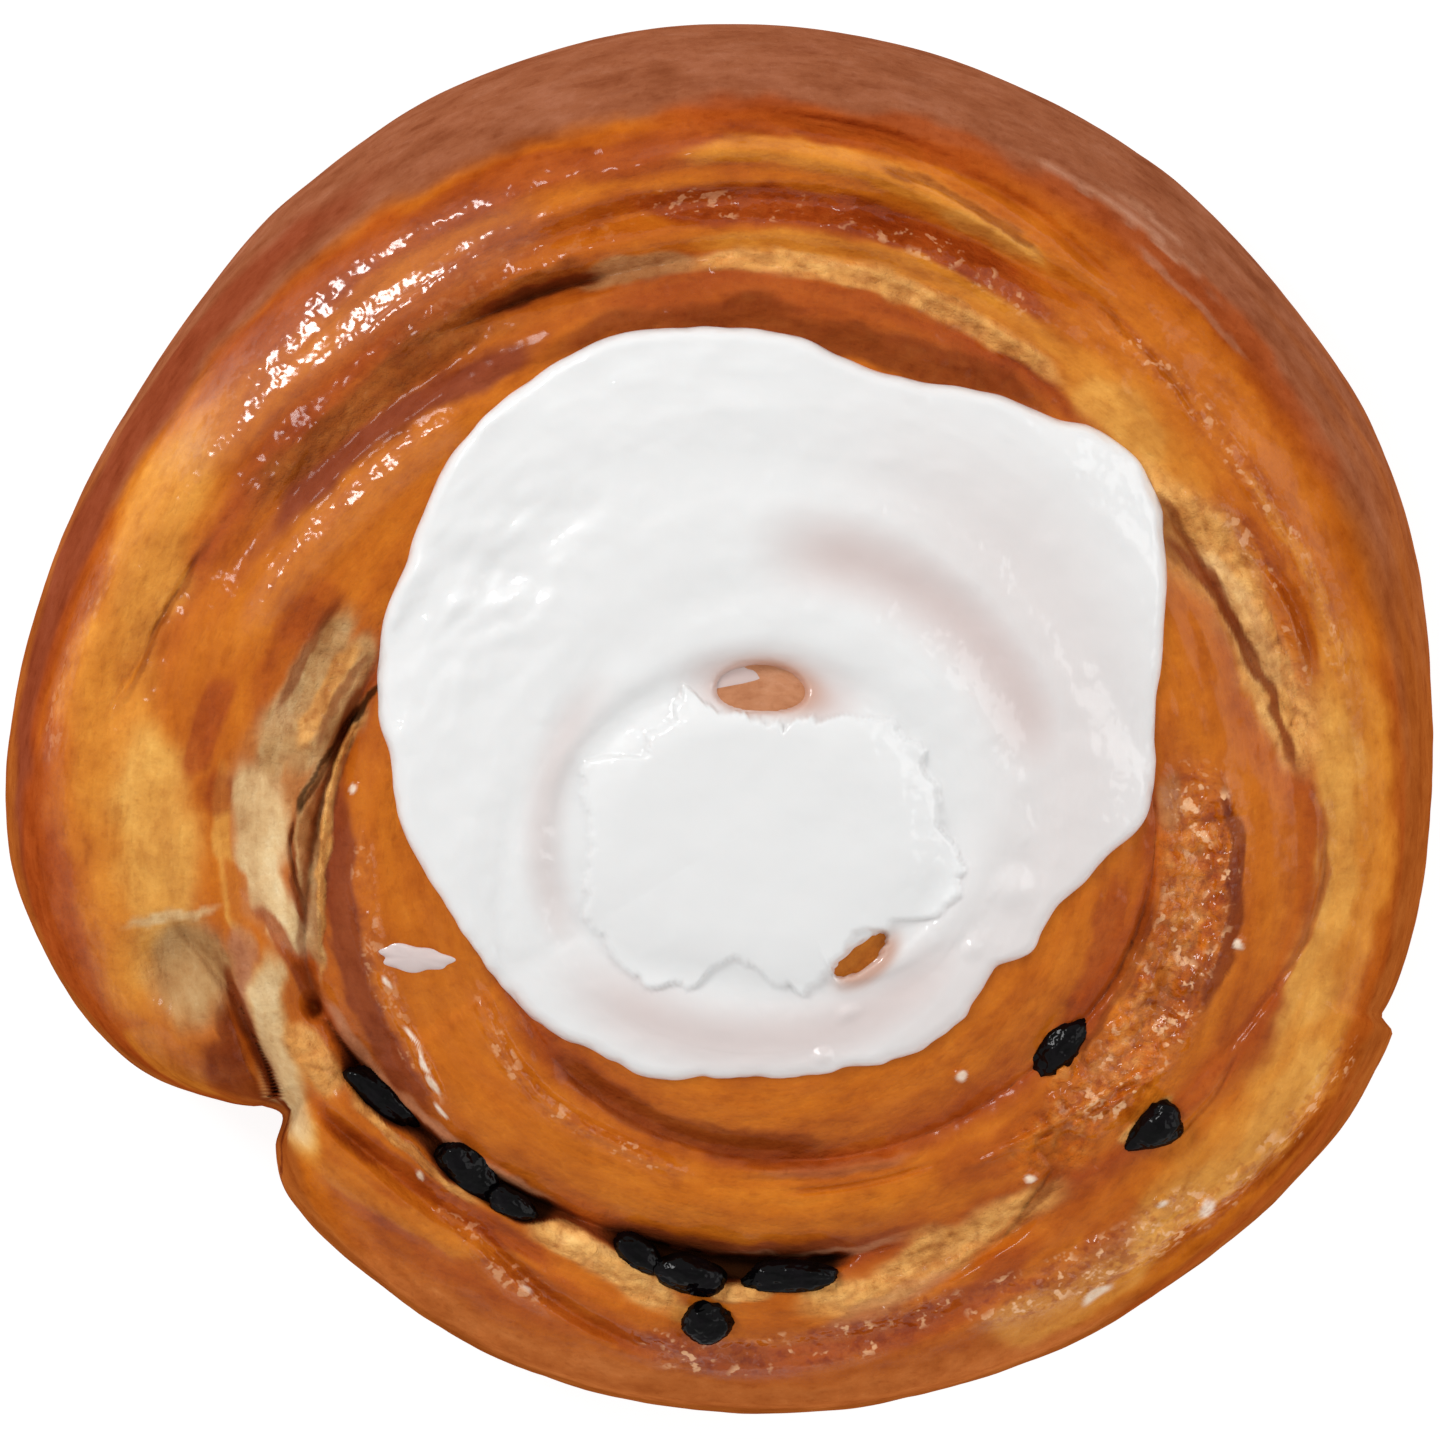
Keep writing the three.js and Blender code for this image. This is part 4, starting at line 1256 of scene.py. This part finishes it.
def build_icing(material, offset):
    angle = spoke_angles(ICING_SPOKES)
    frill = noise("icing_frill", angle, np.full_like(angle, TURN_RADIUS))
    edge = icing_edge(angle) + frill + ICING_SPREAD
    shares = np.sin(ring_shares(ICING_RINGS) * math.pi / 2)
    radius = ring_radii(KNOB_REACH, KNOB_RINGS, edge, shares)
    at = angle, radius

    dough = surface_height(*at)
    level = np.maximum(smoothed(dough, LEVELLING), dough)
    bead = np.sqrt(1 - (1 - np.clip((edge - radius) / BEAD, 0, 1)) ** 2)
    thin_and_shade = np.maximum.reduce([strength * band_field(band, *at) for *band, strength in THIN_AND_SHADE_BANDS])
    rim = np.full_like(angle, KNOB_REACH)
    jag = knob_edge(angle) + noise("knob_jags", angle, rim) + noise("knob_nicks", angle, rim)
    crust = ramp(jag - radius, *CRUST_EDGE)
    *ripple_spot, ripple = ICING_RIPPLES
    waves = noise("icing_waves", *at) + raised(ICING_LUMPS, spot_field, *at)
    waves = waves + ripple * spot_field(ripple_spot, *at) * noise("icing_ripples", *at)
    body = FILM + BODY * (1 - thin_and_shade) * (1 - UNDER_CRUST * crust) + CRUST * crust + waves
    bare = ramp(most(HOLES, *at), *HOLE_EDGE) * (1 - crust)
    filled = dough + (level - dough + body) * bead - BURIED * (1 - bead)
    top = filled + bare * (dough - BURIED - filled)

    under_radius = np.linspace(1, 0, UNDER_RINGS + 1)[None, :-1] * edge
    under = surface_height(angle, under_radius) - 2 * BURIED
    all_radii = np.hstack([radius, under_radius])
    all_z = np.hstack([top, under])
    columns = to_frame(angle, all_radii, all_z, offset).reshape(-1, 3)
    end_z = np.array([top[:, 0].mean(), CROWN_HEIGHT - 2 * BURIED])
    points = np.concatenate([columns, to_frame(np.zeros(2), np.zeros(2), end_z, offset)])
    thin_and_shade = np.hstack([thin_and_shade * (1 - crust), np.ones_like(under_radius)])
    film = soft_step(FILM_EDGE * most(FILMS, *at)) * (1 - crust)
    film = np.hstack([film, np.zeros_like(under_radius)])
    attributes = {"thin_and_shade": with_ends(thin_and_shade.ravel(), 0, 1), "film": with_ends(film.ravel(), 0, 0)}
    faces = round_faces(ICING_SPOKES, all_radii.shape[1])
    make_piece("bun_icing", points, faces, attributes, material, ["icing"])


# The small streak of icing beside the sheet: place, size, and waves of its edge as their
# number, phase and height

SMEAR = {"angle": 201.5, "radius": 30.4, "heading": -6, "half_length": 3.3, "half_width": 1.2}
SMEAR_WAVES = ((3, 1, 0.1), (7, 0, 0.07))
SMEAR_THINNESS = 0.9


def build_smear(material, offset):
    """A flat drop on an oval."""
    turn = np.radians(spoke_angles(SMEAR_SPOKES))
    share = np.sin(ring_shares(SMEAR_RINGS) * math.pi / 2)
    ragged = 1 + sum(height * np.sin(number * turn + phase) for number, phase, height in SMEAR_WAVES)
    along = SMEAR["half_length"] * share * ragged * np.cos(turn)
    across = SMEAR["half_width"] * share * ragged * np.sin(turn)
    angle, radius = placed(along, across, SMEAR["heading"], SMEAR["angle"], SMEAR["radius"])
    dough = surface_height(angle, radius)
    top = dough + (FILM + BURIED) * np.sqrt(1 - share**2) - BURIED
    angle = np.hstack([angle, angle[:, ::-1]])
    radius = np.hstack([radius, radius[:, ::-1]])
    z = np.hstack([top, dough[:, ::-1] - 2 * BURIED])
    middle_z = dough[:, 0].mean() + np.array([FILM, -2 * BURIED])
    ends = to_frame(np.full(2, SMEAR["angle"]), np.full(2, SMEAR["radius"]), middle_z, offset)
    points = np.concatenate([to_frame(angle, radius, z, offset).reshape(-1, 3), ends])
    attributes = {"thin_and_shade": np.full(len(points), SMEAR_THINNESS)}
    faces = round_faces(SMEAR_SPOKES, angle.shape[1])
    make_piece("bun_icing_smear", points, faces, attributes, material, ["icing_smear"])


# Currants: angle, radius, heading, size, lift of the middle above the CAD model's top,
# and taper towards the heading

CURRANTS = [
    (216.4, 38.4, -40, (7.8, 3, 3.4), 0.3, 0.1),
    (230.4, 37.5, -42, (6.6, 3.8, 3.8), 0.3, 0.2),
    (237.6, 37.6, -30, (4.4, 2.4, 2.6), 0.2, 0.3),
    (254.8, 37.2, -34, (4.8, 2.8, 3), 0.1, 0),
    (261.6, 37.9, -14, (6.2, 3.4, 3.6), 0.2, 0),
    (274.2, 37.8, 0, (7.8, 2.8, 3.2), 0.2, 0),
    (264.5, 41.7, 13, (4.5, 3.8, 3.8), 0.2, 0),
    (324.4, 31.3, 44, (6.8, 3.3, 3.6), 0.2, 0.35),
    (322.3, 41.5, 215, (5.3, 3.4, 3.4), 0.1, 0.35),
]

# Wrinkles and lumps of the currants: how many of each to a half length, half width and
# half height, the size of the smooth core, what the folds and the lumps add to it, and
# the number that the seeds count on from

CURRANT_WRINKLES = (1.5, 2.4, 2.4)
CURRANT_LUMPS = 0.9
CURRANT_CORE = 0.86
FOLD_SHARE = 0.16
LUMP_SHARE = 0.2
CURRANT_SEED = 200


def unit_ball(subdivisions):
    bpy.ops.mesh.primitive_ico_sphere_add(subdivisions=subdivisions, radius=1)
    ball = bpy.context.object
    points = np.array([v.co for v in ball.data.vertices])
    faces = [list(p.vertices) for p in ball.data.polygons]
    bpy.data.objects.remove(ball)
    return points, faces


def build_currant(number, place, ball, material, offset):
    angle, radius, heading, size, lift, taper = place
    points, faces = ball
    seed = CURRANT_SEED + number
    folds = 1 - np.abs(layered_noise(points * CURRANT_WRINKLES + number, seed, 2))
    lumps = gradient_noise(points * CURRANT_LUMPS + number, seed)
    points = points * (CURRANT_CORE + FOLD_SHARE * folds + LUMP_SHARE * lumps)[:, None]
    along, across, up = (points * np.array(size) / 2).T
    narrowing = 1 - taper * points[:, 0]
    place = placed(along, across * narrowing, heading, angle, radius)
    middle = top_height(np.array([[float(angle)]]), np.array([[float(radius)]]))[0, 0] + lift
    points = to_frame(*place, up * narrowing + middle, offset)
    node = f"currant_{number}"
    make_piece(f"bun_{node}", points, faces, {}, material, [node])


# Stage: the floor's side in metres, the sky's brightness at the sides and overhead, and
# the upward parts of a direction between which it fades

FLOOR_SIZE = 4
SKY_SIDES = 0.68
SKY_OVERHEAD = 0.48
SKY_RANGE = (0.7, 0.97)

# Lights: name, direction in degrees from the right towards the back, elevation, distance
# and size in metres, and power

LIGHTS = [
    ("key", 137, 37, 1, 0.26, 3.9),
    ("fill", 10, 35, 1.2, 0.8, 3),
]

# Camera: distance and clip end in metres, sensor width in millimetres, and the height
# above the floor that it looks at

CAMERA_DISTANCE = 1.8
CLIP_END = 10
SENSOR_WIDTH = 36
LOOK_HEIGHT = 15


def build_stage(material):
    bpy.ops.mesh.primitive_plane_add(size=FLOOR_SIZE)
    floor = bpy.context.object
    floor.name = "floor"
    floor.data.materials.append(material)


def add_light(name, direction, elevation, distance, size, power):
    """A square area light that faces the bun."""
    data = bpy.data.lights.new(name, "AREA")
    data.size = size
    data.energy = power
    light = bpy.data.objects.new(name, data)
    bpy.context.scene.collection.objects.link(light)
    turn, rise = math.radians(direction), math.radians(elevation)
    level = math.cos(rise)
    back = Vector((math.cos(turn) * level, math.sin(turn) * level, math.sin(rise)))
    light.location = back * distance
    light.rotation_mode = "QUATERNION"
    light.rotation_quaternion = back.to_track_quat("Z", "Y")


def build_sky():
    """Soft light from all round, dimmer overhead, so that level glaze mirrors a dark ceiling."""
    world = bpy.data.worlds.new("world")
    bpy.context.scene.world = world
    world.use_nodes = True
    tree = world.node_tree
    direction = tree.nodes.new("ShaderNodeTexCoord").outputs["Generated"]
    split = tree.nodes.new("ShaderNodeSeparateXYZ")
    tree.links.new(direction, split.inputs["Vector"])
    fade = tree.nodes.new("ShaderNodeMapRange")
    fade.interpolation_type = "SMOOTHSTEP"
    ends = range_ends(*SKY_RANGE, SKY_SIDES, SKY_OVERHEAD)
    fill(tree, fade, {"Value": split.outputs["Z"], **ends})
    fill(tree, tree.nodes["Background"], {"Strength": fade.outputs["Result"], "Color": (1, 1, 1, 1)})


def build_camera(offset):
    """A long lens at the photograph's angle, whose frame is the photograph's."""
    middle = PICTURE_SIDE / 2
    across = (middle - KNOB_PIXEL[0]) * MM_PER_PIXEL
    up = (KNOB_PIXEL[1] - middle) * MM_PER_PIXEL
    y = (up + LOOK_HEIGHT * math.sin(VIEW_TILT)) / math.cos(VIEW_TILT)
    target = Vector((across, y, LOOK_HEIGHT)) * MM + Vector(offset)
    data = bpy.data.cameras.new("camera")
    camera = bpy.data.objects.new("camera", data)
    bpy.context.scene.collection.objects.link(camera)
    data.sensor_width = SENSOR_WIDTH
    data.lens = SENSOR_WIDTH * CAMERA_DISTANCE / (PICTURE_SIDE * MM_PER_PIXEL * MM)
    data.clip_end = CLIP_END
    away = Vector((0, math.sin(VIEW_TILT), math.cos(VIEW_TILT)))
    camera.location = target + CAMERA_DISTANCE * away
    camera.rotation_euler = (-VIEW_TILT, 0, 0)
    bpy.context.scene.camera = camera


bpy.context.scene.view_settings.view_transform = "Standard"
offset = build_dough(dough_material())
icing = icing_material()
build_icing(icing, offset)
build_smear(icing, offset)
currant = currant_material()
ball = unit_ball(BALL_SUBDIVISIONS)
for number, place in enumerate(CURRANTS, 1):
    build_currant(number, place, ball, currant, offset)
build_stage(floor_material())
for light in LIGHTS:
    add_light(*light)
build_sky()
build_camera(offset)
